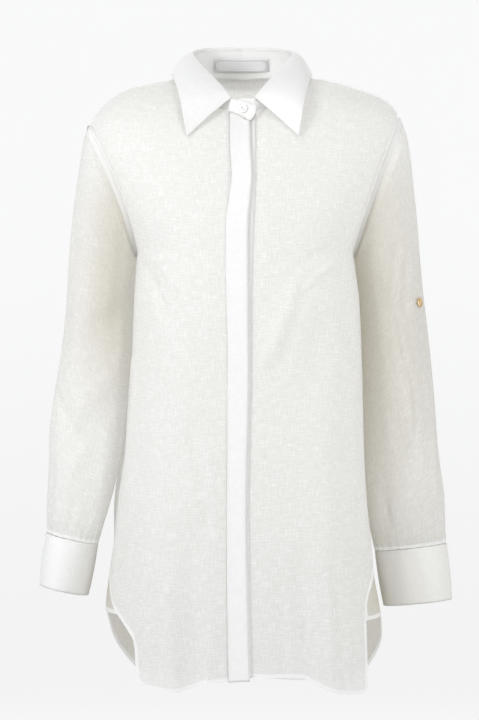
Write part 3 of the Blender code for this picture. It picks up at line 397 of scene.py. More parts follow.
# Hem height at each share of the half width, from the middle to the side seam
HEM = {
    ("front", "right"): Curve(
        (0.00, 0.26, 0.37, 0.49, 0.62, 0.69, 0.745, 0.77, 0.82, 0.87, 0.93, 0.97, 1.00),
        (-776, -779, -786, -791, -788, -786, -777, -731, -716, -704, -690, -672, NOTCH_Z)),
    ("front", "left"): Curve(
        (0.00, 0.42, 0.50, 0.57, 0.72, 0.85, 0.885, 0.905, 0.93, 0.965, 1.00),
        (-771, -773, -780, -788, -796, -797, -791, -694, -676, -660, NOTCH_Z)),
    ("back", "right"): Curve(
        (0.00, 0.40, 0.65, 0.76, 0.90, 0.955, 0.983, 1.00),
        (-806, -804, -798, -790, -758, -736, -714, -698)),
    ("back", "left"): Curve(
        (0.00, 0.50, 0.80, 0.88, 0.95, 0.985, 1.00),
        (-806, -808, -803, -785, -760, -738, -706)),
}

# Front edge of the shirt, in X, which is also the right edge of the placket band
PLACKET = table(
    "z     band_right  band_left  stand_left",
    (-60,  -17.0,  9.0, 16.5),
    (-102, -16.5,  9.8, 16.5),
    (-141, -14.5, 12.0, 16.5),
    (-172, -18.0,  9.4, 15.0),
    (-202, -21.6,  6.6, 13.5),
    (-240, -22.0,  6.6, 12.5),
    (-373, -19.3,  7.5, 10.5),
    (-565, -19.3,  3.9,  7.5),
    (-678, -18.5,  5.6,  9.0),
    (-780, -17.5,  8.7, 11.0),
)

# Large soft folds of the body: two ends, half width and height. Below zero is a trough.
BODY_FOLDS = (
    # face,  x at top, z at top, x at foot, z at foot, half width, height
    ("front",   82, -262,   30, -400, 20,  5.0),
    ("front",  116, -290,   70, -450, 20, -3.5),
    ("front",   98, -430,  108, -800, 20,  4.5),
    ("front",   72, -590,   78, -800, 14, -4.5),
    ("front",  -92, -300,  -48, -600, 22,  4.0),
    ("front",  -62, -560,  -70, -800, 14, -4.0),
    ("front", -112, -430, -104, -800, 20,  4.0),
    ("back",   -98, -210,  -78, -800, 22,  5.0),
    ("back",   -46, -330,  -30, -800, 20, -5.0),
    ("back",    12, -120,   18, -800, 22,  4.5),
    ("back",    58, -260,   66, -800, 20, -4.5),
    ("back",   104, -230,   96, -800, 22,  5.0),
)
FOLD_FADE = 60.0

# Creases: two ends in X and Z (millimetres), half width and height. Below zero is a trough.
BODY_CREASES = (
    # face,  x at top, z at top, x at foot, z at foot, half, height
    ("front",  128, -236,   62, -300,  5.0,  2.2),
    ("front",  120, -222,   58, -262,  6.0, -1.8),
    ("front",   71, -262,   24, -390, 10.0,  2.2),
    ("front",   86, -262,   44, -392, 10.0, -1.9),
    ("front", -122, -232,  -66, -300,  6.0,  1.8),
    ("front", -126, -246,  -84, -345,  7.0, -2.0),
    ("front",  -64, -440,  -44, -600,  9.0, -2.4),
    ("front",  -44, -470,  -30, -620,  8.0,  2.0),
    ("front",   79, -692,   78, -742,  2.6, -2.4),
    ("front",   84, -690,   82, -745,  3.0,  1.4),
    ("front",  -68, -690,  -66, -790,  5.0, -2.0),
    ("front",   44, -640,   52, -790,  8.0, -2.2),
    ("front",  112, -600,  124, -790,  7.0, -2.4),
    ("front",  136, -380,  140, -560,  7.0,  1.8),
    ("front", -138, -360, -146, -560,  7.0,  1.8),
    ("front",  -92, -640,  -84, -790,  8.0,  2.6),
    ("front", -112, -650, -106, -790,  6.0, -2.4),
    ("front",  -40, -690,  -44, -790,  6.0,  1.6),
    ("back",   126, -232,   66, -330,  8.0,  2.6),
    ("back",   120, -250,   74, -390,  8.0, -2.6),
    ("back",  -122, -232,  -60, -320,  8.0,  2.4),
    ("back",  -118, -252,  -70, -400,  9.0, -2.8),
    ("back",    34, -420,   30, -640,  9.0,  2.4),
    ("back",   -12, -300,  -10, -520,  8.0, -2.0),
    ("back",   -74, -540,  -64, -790,  8.0,  2.6),
    ("back",    84, -560,   92, -790,  9.0, -2.6),
    ("back",   134, -480,  142, -740,  8.0,  2.4),
    ("back",  -132, -500, -142, -740,  8.0, -2.2),
)
CREASE_FADE = 22.0
CREASE_DEPTH = 1.4
THROUGH_HEM = -790

ARMHOLE = {
    # top x and z, bottom x, and how much it bends on the way down
    "right": (202.0, -68.0, 137.0, 1.45),
    "left": (206.0, -56.0, 143.0, 1.20),
}
ARMHOLE_SHARE = {"front": 0.42, "back": 0.70}
ARMHOLE_ROUND = 0.6

# Sleeves from the armhole to the cuff seam: outer and inner edge of each ring, and its middle
# and half depth front to back
SLEEVE = {
    "right": table(
        "ring x_out  z_out  x_in   z_in   y_mid  half",
        (1,   207,  -84,  138.5, -241,   -8,  63),
        (2,   212, -110,  139.5, -250,   -2,  65),
        (3,   217, -142,  140.5, -262,    2,  66),
        (4,   223, -185,  141.5, -282,    6,  66),
        (5,   228, -240,  143.0, -312,    8,  65),
        (6,   231, -295,  144.0, -345,    8,  63),
        (7,   237, -355,  146.0, -388,    6,  60),
        (8,   247, -420,  150.0, -436,    2,  56),
        (9,   253, -470,  155.0, -482,   -2,  53),
        (10,  254, -520,  166.0, -532,   -4,  52),
        (11,  256, -570,  180.0, -582,   -6,  51),
        (12,  255.5, -597, 189.8, -612.5, -7, 46),
    ),
    "left": table(
        "ring x_out  z_out  x_in   z_in   y_mid  half",
        (1,   214,  -80,  145.0, -242,   -8,  62),
        (2,   219, -108,  146.5, -251,   -2,  64),
        (3,   223, -142,  148.5, -264,    2,  65),
        (4,   228, -185,  150.0, -284,    6,  65),
        (5,   232, -235,  151.5, -312,    8,  64),
        (6,   236, -280,  153.0, -345,    8,  62),
        (7,   243, -340,  154.5, -388,    8,  59),
        (8,   250, -411,  156.0, -438,    5,  55),
        (9,   256, -491,  158.0, -500,    2,  50),
        (10,  264, -555,  162.0, -560,    0,  45),
        (11,  265, -592,  168.0, -602,    0,  40),
        (12,  265.4, -612, 173.5, -622.5, 0, 34),
    ),
}
CUFF = {
    "right": ((255.8, -598.1, 190.1, -613.1, -7, 46), (264.5, -665.7, 202.5, -679.5, -9, 42)),
    "left": ((265.8, -612.6, 173.9, -623.2, 0, 34), (272.8, -685.6, 185.0, -694.2, -2, 31)),
}
SLEEVE_ROUNDNESS = 2.2
SLEEVE_CLEARANCE = WALL + 0.9
CUFF_LAP = 24.0
CUFF_LAP_FROM = (345, 15)
CUFF_LAP_CLEAR = 0.1
CUFF_OPENING = 250.0
CUFF_BUTTON_AT = 0.966

# Bends of the sleeves: ring and turn at each end, half width in rings and height
SLEEVE_FOLDS = {
    "right": (
        (4.2, 175, 7.6, 40, 0.55, -5.0),
        (6.2, 150, 8.8, 60, 0.50, 4.0),
        (7.8, 30, 10.2, 130, 0.50, -3.5),
        (5.0, 200, 8.0, 320, 0.60, -4.0),
    ),
    "left": (
        (4.0, 120, 7.0, 75, 0.55, -4.5),
        (6.5, 95, 8.6, 70, 0.60, 3.5),
        (8.4, 60, 10.4, 140, 0.50, -4.0),
        (5.0, 200, 8.2, 310, 0.60, -4.0),
    ),
}

SEAM_BAND_WIDTH = 10.0
SEAM_BAND_START = 0.6

# Collar stand: its overlapping end from the wearer's right to the wearer's left, in X
OVER_END = table(
    "x     bottom top    y_low  y_high",
    (-15, -56.0, -40.0, -79.0, -80.0),
    (-8,  -58.5, -41.5, -80.5, -81.0),
    (0,   -61.8, -43.2, -82.0, -82.0),
    (9,   -68.2, -46.0, -86.0, -83.5),
    (13,  -64.0, -47.2, -85.0, -84.0),
    (17,  -56.5, -49.5, -84.0, -84.0),
)
# Its underlapping end, from the wearer's left to the wearer's right
UNDER_END = table(
    "x     bottom top    y_low  y_high",
    (-9,  -52.0, -44.0, -76.0, -77.2),
    (-5,  -55.5, -40.0, -76.0, -77.2),
    (5,   -56.5, -38.5, -76.0, -77.2),
    (15,  -55.5, -40.0, -74.8, -76.8),
)
OVER_X = np.linspace(17.0, -15.0, 30)
UNDER_X = np.linspace(15.0, -9.0, 20)
STAND_FROM = 24.0
STAND_COLUMNS = 150
STAND_LIFT = -1.0
STAND_BELOW_FOLD = 3.0
STAND_IN = 1.0

# Turned-down collar: fold line and outer edge, front end to middle of the back
COLLAR = table(
    "turn  fold_x fold_y fold_z right  left   edge_y  edge_z puff",
    (0,    15.0, -80.5, -38.0,  71.0,  71.0, -107.0, -90.5,  1.0),
    (12,   22.0, -75.0, -29.0,  76.5,  75.5, -101.0, -60.0,  4.0),
    (30,   37.5, -58.0, -10.0,  83.5,  82.0,  -72.0, -28.0,  6.0),
    (55,   55.5, -30.0,  10.5,  91.0,  88.5,  -32.0,  -6.0,  7.0),
    (90,   66.5,   4.0,  29.5,  93.5,  90.5,    8.0,   0.5,  7.0),
    (125,  54.0,  38.0,  38.5,  80.0,  79.0,   52.0,  -1.5,  7.0),
    (155,  29.0,  57.0,  42.5,  45.0,  45.0,   79.0,  -1.0,  7.0),
    (180,   0.0,  63.5,  43.5,   0.0,   0.0,   88.0,   0.0,  7.0),
)
COLLAR_WALL = 1.6
COLLAR_COLUMNS = 90
COLLAR_ROWS = 34
COLLAR_CROWD = 1.25

# Shares of a button's radius and thickness, from the top's middle to the foot's
BUTTON_PROFILE = ((0, 0.75), (0.62, 0.75), (0.78, 1), (0.95, 0.9), (1, 0.5), (0.85, 0), (0, 0))
BUTTON_STEPS = 40
BUTTON_OFF = 0.5
BUTTON_MERGE = 0.00002
BUTTON_BEVEL = 0.15
BUTTON_SHARP = 50
HOLE_SIDES = 20
# Thread over a button: radius, how far apart its two loops lie, how far it reaches past the holes,
# how far it stands over the face and dives at its ends, and where it bends down
THREAD_RADIUS = 0.26
THREAD_ASIDE = 0.28
THREAD_REACH = 1.05
THREAD_OVER = 0.35
THREAD_DIVE = 7.6
THREAD_BEND = 0.75
THREAD_RINGS = 15
THREAD_SIDES = 8
BUTTON = {
    # radius, thickness, hole radius, hole distance from the middle
    "collar": (5.7, 2.4, 0.85, 1.75),
    "cuff": (5.6, 2.4, 0.85, 1.6),
    "sleeve": (6.2, 2.4, 0.85, 1.7),
}
COLLAR_BUTTON_AT = (0.6, -52.5)
TAB_WIDTH = 15.0
TAB_LENGTH = 88.0
TAB_WALL = 1.0
SLEEVE_BUTTON = {
    # height and turn round the sleeve from its outer edge, front first
    "right": (-318.0, -28.0),
    "left": (-299.0, 41.0),
}
TAB_HANG = 1.2
TAB_ABOVE = 8.0
TAB_ROWS = 8
LABEL_SIZE = (75.0, 16.0)
LABEL_MIDDLE = (-2.0, 18.5)
LABEL_WALL = 1.0
LABEL_IN = DOUBLE_WALL / 2 + GAP + LABEL_WALL / 2 + 0.6
LABEL_COLUMNS = 8
LABEL_NEAR = 34


def outline(share, power):
    """Depth share of a rounded section at a share of its half width."""
    return np.maximum(1 - np.abs(share) ** power, 0.0) ** (1 / power)


def armhole_x(side, down):
    """Distance from the middle to the armhole, at a share of the way down it."""
    top, _, bottom, bend = ARMHOLE[side]
    return bottom + (top - bottom) * (1 - down) ** bend


def armhole_share(side, z):
    top_z = ARMHOLE[side][1]
    return np.clip((top_z - z) / (top_z - ARMPIT_Z), 0.0, 1.0)


def reach(side, face, z):
    """Half width of the whole section: the side seam's, and above it one that passes the arm."""
    down = armhole_share(side, z)
    below_middle = np.clip(2 * down - 1, 0.0, 1.0)
    opening = ARMHOLE_SHARE[face] * (1 - below_middle ** 2) ** ARMHOLE_ROUND
    power = ROUNDNESS[face]
    above = armhole_x(side, down) / (1 - opening ** power) ** (1 / power)
    flare = DEPTH[side](z) if face == "back" else 0.0
    return np.where(z > ARMPIT_Z, above, HALF_WIDTH[side](z) + flare)


def section_y(side, face, x, z):
    """Y of the cloth at a distance from the middle and a height, as if there were no folds."""
    deep = outline(x / reach(side, face, z), ROUNDNESS[face])
    return SIDE_Y + TOWARD[face] * DEPTH[face](z) * deep


def fold_height(face, x, z):
    """How far the large folds move the cloth out, at a signed X."""
    height = np.zeros(np.broadcast(x, z).shape)
    kinds = (BODY_FOLDS, FOLD_FADE, 1.0), (BODY_CREASES, CREASE_FADE, CREASE_DEPTH)
    for rows, fade, depth in kinds:
        for on, x_top, z_top, x_foot, z_foot, half, out in rows:
            if on != face:
                continue
            along = np.clip((z_top - z) / (z_top - z_foot), 0.0, 1.0)
            offset = (x - x_top - (x_foot - x_top) * along) / half
            starts = smooth_step((z_top - z) / fade)
            ends = 1.0 if z_foot <= THROUGH_HEM else smooth_step((z - z_foot) / fade)
            height = height + depth * out * np.exp(-offset * offset) * starts * ends
    return height


def cloth_point(side, face, x, z, turn=None):
    """A point of the body from its distance to the middle and its height or shoulder turn."""
    x = np.asarray(x, float)
    z = np.asarray(z, float)
    y = section_y(side, face, x, z)
    share = np.clip(np.abs(x) / reach(side, face, z), 0.0, 1.0)
    lean = share ** (ROUNDNESS[face] - 1)
    depth = outline(share, ROUNDNESS[face]) ** (ROUNDNESS[face] - 1)
    length = np.hypot(lean, depth) + 1e-9
    push = fold_height(face, SIGN[side] * x, z)
    if face == "back" and side == "right":
        deep = outline(share, ROUNDNESS[face])
        push = push + DEPTH["swell"](z) * 4 * deep * (1 - deep) * share
    rise = 0.0
    if turn is not None:
        y = y * np.sin(turn)
        push = push * np.sin(turn)
        if face == "back":
            rise = neck_rise(x, y)
    y = y + TOWARD[face] * push * depth / length
    out_x = x + np.sign(x) * push * lean / length
    return np.stack(np.broadcast_arrays(SIGN[side] * out_x, y, z + rise), axis=-1)


def neck_rise(x, y):
    """How far the cloth climbs to the back of the neck."""
    away = np.hypot(x / NECK_HALF, y / NECK_BACK) + 1e-9
    toward_back = np.clip(y / NECK_BACK / away, 0.0, 1.0)
    return NECK_RISE * toward_back ** 2 * np.exp(-((away - 1) / NECK_RISE_SPREAD) ** 2)


def shoulder_point(side, face, x, turn):
    """A point above the armpits, turned down from the shoulder line by an angle."""
    z = ARMPIT_Z + (RIDGE[side](np.abs(x)) - ARMPIT_Z) * np.cos(turn)
    return cloth_point(side, face, x, z, turn)


def turn_for_y(side, face, x, y):
    """The turn at which the cloth is as far forward or back as Y."""
    turn = 0.5
    for _ in range(12):
        z = ARMPIT_Z + (RIDGE[side](np.abs(x)) - ARMPIT_Z) * np.cos(turn)
        turn = np.arcsin(np.clip(y / section_y(side, face, x, z), 0.0, 1.0))
    return turn


def turn_for_z(side, face, x, z):
    """The turn at which the cloth has come down to a height, by halving."""
    low = np.zeros_like(np.asarray(x, float))
    high = np.full_like(low, math.pi / 2)
    for _ in range(30):
        middle = (low + high) / 2
        above = shoulder_point(side, face, x, middle)[..., 2] > z
        low = np.where(above, middle, low)
        high = np.where(above, high, middle)
    return (low + high) / 2


def armhole_turn(side, down):
    x = armhole_x(side, down)
    z = ARMHOLE[side][1] + (ARMPIT_Z - ARMHOLE[side][1]) * down
    cosine = (z - ARMPIT_Z) / (RIDGE[side](x) - ARMPIT_Z)
    return np.arccos(np.clip(cosine, 0.0, 1.0))


def armhole_point(side, face, down):
    return shoulder_point(side, face, armhole_x(side, down), armhole_turn(side, down))


def armhole_start(side, face, z_or_y, by_height):
    """Share down the armhole where a seam meets it, by halving."""
    low, high = 0.0, 1.0
    for _ in range(40):
        middle = (low + high) / 2
        point = armhole_point(side, face, middle)
        before = point[2] > z_or_y if by_height else abs(point[1]) < z_or_y and middle < 0.5
        low, high = (middle, high) if before else (low, middle)
    return (low + high) / 2


def spread(count):
    """Shares across half a panel, closer together where its section bends at the side."""
    return np.sin(np.linspace(0, math.pi / 2, count + 1)) ** (2 / SPREAD_POWER)


def down_at(angle):
    """Share of the way down a sleeve's opening at an angle round it from the top."""
    across = np.sign(np.cos(angle)) * np.abs(np.cos(angle)) ** (2 / SLEEVE_ROUNDNESS)
    return (1 - across) / 2


def angle_at(down):
    """Angle round a sleeve's opening at a share of the way down it."""
    across = 1 - 2 * down
    return math.acos(math.copysign(abs(across) ** (SLEEVE_ROUNDNESS / 2), across))


def armhole_angles(side, face):
    """Angles round the armhole of the rows of a front or of the back."""
    if face == "front":
        start = armhole_start(side, face, SHOULDER_SEAM_Y, by_height=False)
        return np.linspace(angle_at(start), math.pi, NECK_ROWS + EDGE_ROWS + CHEST_ROWS + 1)
    start = armhole_start(side, face, YOKE_Z, by_height=True)
    return np.linspace(angle_at(start), math.pi, BACK_ROWS + 1)


def joined(inner, outer, shares):
    return inner[:, None] + (outer - inner)[:, None] * shares[None, :]


def shoulder_seam_turn(side, x):
    return turn_for_y(side, "front", x, -SHOULDER_SEAM_Y)


def front_edge_x(side, z):
    """Distance of a front's own edge from the middle, toward the other side below zero."""
    if side == "right":
        return -PLACKET["band_left"](z) + GAP
    return np.full_like(np.asarray(z, float), -UNDERLAP)


def band_edge_x(side, z):
    """Distance from the middle to the inner edge of the band or strip along a front."""
    return -PLACKET["band_right"](z) if side == "right" else PLACKET["stand_left"](z)


def neck_y(side, angle):
    """Y of the neck seam in front, where the lapping front drops lower past the middle."""
    y = -NECK_FRONT * np.cos(angle)
    if side == "right":
        past = (NECK_DROP_FROM - NECK_HALF * np.sin(angle)) / NECK_DROP_WIDTH
        y = y - NECK_DROP * np.clip(past, 0.0, 1.0)
    return y


def neck_inner(side):
    """Distance from the middle and turn along the neck seam of a front, shoulder to edge."""
    first = math.acos(SHOULDER_SEAM_Y / NECK_FRONT)
    z_neck = np.array(NECK_EDGE_Z)
    band = math.asin(float(band_edge_x(side, z_neck)) / NECK_HALF)
    last = math.asin(float(front_edge_x(side, z_neck)) / NECK_HALF)
    past_band = np.linspace(band, last, EDGE_ROWS + 1)[1:]
    angle = np.append(np.linspace(first, band, NECK_ROWS + 1), past_band)
    x = NECK_HALF * np.sin(angle)
    return x, turn_for_y(side, "front", x, neck_y(side, angle))


def front_columns(edge, band, outer, above_band):
    """Distances from the middle along each row: across the band, then on to the side."""
    rest = spread(FRONT_COLUMNS - BAND_COLUMNS)
    inner = np.minimum(edge, band)
    across = joined(inner, band, np.linspace(0, 1, BAND_COLUMNS + 1)[:-1])
    banded = np.concatenate([across, joined(band, outer, rest)], axis=1)
    collapsed = np.concatenate([np.repeat(edge[:, None], BAND_COLUMNS, axis=1),
                                joined(edge, outer, rest)], axis=1)
    plain = joined(edge, outer, spread(FRONT_COLUMNS))
    near = smooth_step(2 - 2 * above_band)[:, None]
    upper = collapsed * near + plain * (1 - near)
    return np.where((above_band > 0)[:, None], upper, banded)


def front_grid(side):
    """Rows of one front, from the shoulder seam to the hem, each from its edge to the side."""
    x_neck, turn_neck = neck_inner(side)
    turn_edge = np.linspace(neck_inner("right")[1][-1], math.pi / 2, CHEST_ROWS + 1)[1:]
    z_edge = ARMPIT_Z + (RIDGE[side](0.0) - ARMPIT_Z) * np.cos(turn_edge)
    x_in = np.concatenate([x_neck, front_edge_x(side, z_edge)])
    turn_in = np.concatenate([turn_neck, turn_edge])
    z_in = ARMPIT_Z + (RIDGE[side](np.abs(x_in)) - ARMPIT_Z) * np.cos(turn_in)
    down = down_at(armhole_angles(side, "front"))
    above_band = 1 - np.arange(len(x_in)) / NECK_ROWS
    x = front_columns(x_in, band_edge_x(side, z_in), armhole_x(side, down), above_band + 1e-6)
    level = np.where(above_band > -1e-9, x[:, 0], x[:, BAND_COLUMNS])[:, None]
    shares = np.maximum(x - level, 0.0) / (x[:, -1:] - level)
    seam = shoulder_seam_turn(side, x)
    part_in = (turn_in - seam[:, 0]) / (math.pi / 2 - seam[:, 0])
    part_band = part_in.copy()
    part_band[NECK_ROWS:NECK_ROWS + EDGE_ROWS + 2] = np.linspace(
        part_in[NECK_ROWS], part_in[NECK_ROWS + EDGE_ROWS + 1], EDGE_ROWS + 2)
    turn_out = armhole_turn(side, down)
    part_out = (turn_out - seam[:, -1]) / (math.pi / 2 - seam[:, -1])
    part = part_band[:, None] + (part_out - part_band)[:, None] * shares
    to_edge = np.clip(1 - np.arange(FRONT_COLUMNS + 1) / BAND_COLUMNS, 0, 1)[None, :]
    part = part + (part_in - part_band)[:, None] * to_edge
    upper = shoulder_point(side, "front", x, seam + part * (math.pi / 2 - seam))
    grid = np.concatenate([upper, skirt_front(side)])
    return tucked_under(grid) if side == "left" else grid


def skirt_front(side):
    """Rows of one front below the armpit, down to its curved hem."""
    down = np.linspace(0, 1, SKIRT_ROWS + 1)[1:]
    hem = np.full(FRONT_COLUMNS + 1, HEM["front", side](0.5))
    for _ in range(6):
        z = ARMPIT_Z + (hem - ARMPIT_Z)[None, :] * down[:, None]
        outer = reach(side, "front", z[:, -1])
        band = band_edge_x(side, z[:, BAND_COLUMNS])
        x = front_columns(front_edge_x(side, z[:, 0]), band, outer, np.zeros(SKIRT_ROWS))
        share = x / outer[:, None]
        hem = HEM["front", side](np.maximum(share[-1], 0.0))
    return cloth_point(side, "front", share * reach(side, "front", z), z)


def tucked_under(grid):
    """The left front goes in behind the right one where they lap."""
    into = 1 - smooth_step((grid[..., 0] - PLACKET["stand_left"](grid[..., 2])) / UNDER_SLOPE)
    return grid - grid_normals(grid) * (UNDER_DEPTH * into)[..., None]


def back_half_grid(side):
    """Rows of half the back, from the yoke seam to the hem, each from the middle to the side."""
    shares = spread(BACK_COLUMNS)
    down = down_at(armhole_angles(side, "back"))
    x = joined(np.zeros(BACK_ROWS + 1), armhole_x(side, down), shares)
    seam = turn_for_z(side, "back", x, YOKE_Z)
    turn_out = armhole_turn(side, down)
    part_out = (turn_out - seam[:, -1]) / (math.pi / 2 - seam[:, -1])
    part = joined(np.linspace(0, 1, BACK_ROWS + 1), part_out, shares)
    upper = shoulder_point(side, "back", x, seam + part * (math.pi / 2 - seam))
    hem = HEM["back", side](shares)
    z = ARMPIT_Z + (hem - ARMPIT_Z)[None, :] * skirt_down(side)[:, None]
    lower = cloth_point(side, "back", reach(side, "back", z) * shares[None, :], z)
    return np.concatenate([upper, lower])


def skirt_down(side):
    """How far down the skirt of the back each row is, with one row's end at the notch."""
    notch = (NOTCH_Z - ARMPIT_Z) / (HEM["back", side](1.0) - ARMPIT_Z)
    above = np.linspace(0, notch, NOTCH_ROW + 1)[1:]
    below = np.linspace(notch, 1, SKIRT_ROWS - NOTCH_ROW + 1)[1:]
    return np.concatenate([above, below])


def back_flap_grid(side, edge):
    """The part of the back below a notch that passes forward, inside the front."""
    z = edge[:, 2]
    turn = FLAP_TURN * smooth_step((NOTCH_Z - z) / FLAP_DROP)
    columns = [edge]
    for index in range(1, FLAP_COLUMNS + 1):
        angle = turn * index / FLAP_COLUMNS
        across = np.cos(angle) ** (2 / ROUNDNESS["front"])
        deep = np.sin(angle) ** (2 / ROUNDNESS["front"])
        inset = FLAP_INSET * smooth_step(3 * angle / FLAP_TURN)
        swing = DEPTH[side](z) * (1 - index / FLAP_COLUMNS)
        x = (reach(side, "front", z) + swing - inset) * across
        y = SIDE_Y - (DEPTH["front"](z) - inset) * deep
        columns.append(np.stack([SIGN[side] * x, y, z], axis=-1))
    return np.stack(columns, axis=1)


def yoke_half_grid(side):
    """Rows of half the yoke, from its front seam over the shoulder to its back seam."""
    shares = spread(BACK_COLUMNS)
    angle = np.linspace(math.acos(SHOULDER_SEAM_Y / NECK_FRONT), math.pi / 2, YOKE_FRONT_ROWS + 1)
    x_in = NECK_HALF * np.sin(angle)
    down = down_at(np.linspace(armhole_angles(side, "front")[0], 0, YOKE_FRONT_ROWS + 1))
    x = joined(x_in, armhole_x(side, down), shares)
    fade = np.linspace(1, 0, YOKE_FRONT_ROWS + 1)[:, None]
    front = shoulder_point(side, "front", x, shoulder_seam_turn(side, x) * fade)
    angle = np.linspace(math.pi / 2, math.pi, YOKE_BACK_ROWS - YOKE_MIDDLE_ROWS + 1)
    x_neck = NECK_HALF * np.sin(angle)
    turn_neck = turn_for_y(side, "back", x_neck, -NECK_BACK * np.cos(angle))
    turn_seam = turn_for_z(side, "back", np.array(0.0), YOKE_Z)
    x_in = np.append(x_neck, np.zeros(YOKE_MIDDLE_ROWS))
    middle = np.linspace(turn_neck[-1], turn_seam, YOKE_MIDDLE_ROWS + 1)[1:]
    turn_in = np.append(turn_neck, middle)
    down = down_at(np.linspace(0, armhole_angles(side, "back")[0], YOKE_BACK_ROWS + 1))
    x = joined(x_in, armhole_x(side, down), shares)
    seam = turn_for_z(side, "back", x, YOKE_Z)
    part_in = turn_in / seam[:, 0]
    part_out = armhole_turn(side, down) / seam[:, -1]
    back = shoulder_point(side, "back", x, joined(part_in, part_out, shares) * seam)
    return np.concatenate([front[:-1], back])


def grid_normals(grid):
    """Unit normals of a grid of points, pointing out for rows down and columns to the left."""
    along_row = np.gradient(grid, axis=1)
    along_column = np.gradient(grid, axis=0)
    normals = np.cross(along_column, along_row)
    return normals / (np.linalg.norm(normals, axis=-1, keepdims=True) + 1e-9)


def ring_points(x_out, z_out, x_in, z_in, y_mid, half, side):
    """One ring of a sleeve, from its inner edge round by the back."""
    angle = sleeve_angles()
    across, deep = rounded(np.cos(angle)), rounded(np.sin(angle))
    share = (1 - across) / 2
    x = x_out + (x_in - x_out) * share
    z = z_out + (z_in - z_out) * share
    return np.stack([SIGN[side] * x, y_mid - half * deep, z], axis=-1)


def rounded(wave):
    return np.sign(wave) * np.abs(wave) ** (2 / SLEEVE_ROUNDNESS)


def sleeve_angles():
    """Angles round a sleeve, from the seam under the arm by the back and the front to it again."""
    return np.linspace(math.pi, 3 * math.pi, SLEEVE_SIDES + 1)


def armhole_ring(side):
    """The sleeve's first ring: the armhole's own points, moved out along the arm."""
    angle = sleeve_angles()
    down = down_at(angle)
    front = armhole_point(side, "front", down)
    back = armhole_point(side, "back", down)
    ring = np.where((np.sin(angle) >= 0)[:, None], front, back)
    top_x, top_z, bottom_x, _ = ARMHOLE[side]
    along = np.array([SIGN[side] * (top_z - ARMPIT_Z), 0.0, -(top_x - bottom_x)])
    return ring + along / np.linalg.norm(along) * SLEEVE_START


def sleeve_grid(side):
    """Rings of a sleeve from the armhole to the cuff, clear of the body at its side."""
    sizes = SLEEVE[side]
    places = np.linspace(0, LAST_RING, SLEEVE_RINGS + 1)
    names = ("x_out", "z_out", "x_in", "z_in", "y_mid", "half")
    first = armhole_ring(side)
    rings = []
    for place in places:
        ring = ring_points(*(float(sizes[name](place)) for name in names), side)
        rings.append(first + (ring - first) * min(place, 1.0))
    grid = np.stack(rings)
    grid = grid + tube_normals(grid) * sleeve_fold_height(side, places)[..., None]
    turn = np.degrees(sleeve_angles() % (2 * math.pi))[None, :]
    creases = sleeve_crease_height(side, turn, grid[..., 2])
    creases = creases * smooth_step(places / SLEEVE_CREASE_FROM)[:, None]
    return clear_of_body(side, grid + tube_normals(grid) * creases[..., None])


def sleeve_crease_height(side, turn, z):
    """Height of the sleeve's small creases, each along a line round and down the sleeve."""
    height = np.zeros(z.shape)
    for turn_a, z_a, turn_b, z_b, half, out in SLEEVE_CREASES[side]:
        round_by = (turn - turn_a + 180) % 360 - 180
        run = np.array([(turn_b - turn_a + 180) % 360 - 180, z_b - z_a])
        length = np.hypot(*run)
        along = (round_by * run[0] + (z - z_a) * run[1]) / length
        aside = (round_by * run[1] - (z - z_a) * run[0]) / length
        starts = smooth_step(along / SLEEVE_CREASE_FADE)
        inside = starts * smooth_step((length - along) / SLEEVE_CREASE_FADE)
        height += CREASE_DEPTH * out * np.exp(-(aside / half) ** 2) * inside
    return height


def tube_normals(grid):
    """Unit normals of a tube whose last column lies on its first, pointing out."""
    ring = grid[:, :-1]
    around = np.roll(ring, -1, axis=1) - np.roll(ring, 1, axis=1)
    along = np.gradient(ring, axis=0)
    normals = np.cross(along, around)
    normals = normals / (np.linalg.norm(normals, axis=-1, keepdims=True) + 1e-9)
    middle = ring.mean(axis=1, keepdims=True)
    outward = np.sign(((ring - middle) * normals).sum(axis=(1, 2)))
    normals = normals * outward[:, None, None]
    return np.concatenate([normals, normals[:, :1]], axis=1)


def sleeve_fold_height(side, places):
    """How far the sleeve's bends and creases move each point out, by ring and turn."""
    turn = np.degrees(sleeve_angles() % (2 * math.pi))[None, :]
    ring = places[:, None]
    height = np.zeros((len(places), SLEEVE_SIDES + 1))
    for ring_a, turn_a, ring_b, turn_b, half, out in SLEEVE_FOLDS[side]:
        along = np.clip((turn - min(turn_a, turn_b)) / abs(turn_b - turn_a), 0, 1)
        if turn_a > turn_b:
            along = 1 - along
        middle = ring_a + (ring_b - ring_a) * along
        inside = smooth_step(along * 4) * smooth_step((1 - along) * 4)
        height += out * np.exp(-((ring - middle) / half) ** 2) * inside
    sway, sway_length = GATHER_WANDER
    wave = turn / 360 * 2 * math.pi * GATHERS + sway * np.sin(turn / sway_length)
    start, span = GATHER_FROM
    gathers = GATHER_HEIGHT * np.sin(wave) * smooth_step((ring - start) / span)
    return height * smooth_step((LAST_RING - ring) / BEND_FADE) + gathers


def body_side_x(side, y, z):
    """Distance from the middle to the body's side, at a depth and height."""
    face_front = y < SIDE_Y
    x = np.zeros_like(y)
    for face, here in (("front", face_front), ("back", ~face_front)):
        share = np.clip(np.abs(y - SIDE_Y) / DEPTH[face](z), 0, 1)
        x = np.where(here, HALF_WIDTH[side](z) * outline(share, ROUNDNESS[face]), x)
        if side == "right" and face == "back":
            x = x + np.where(here, DEPTH["swell"](z) * 4 * share * (1 - share) + CLEAR, 0.0)
    return x


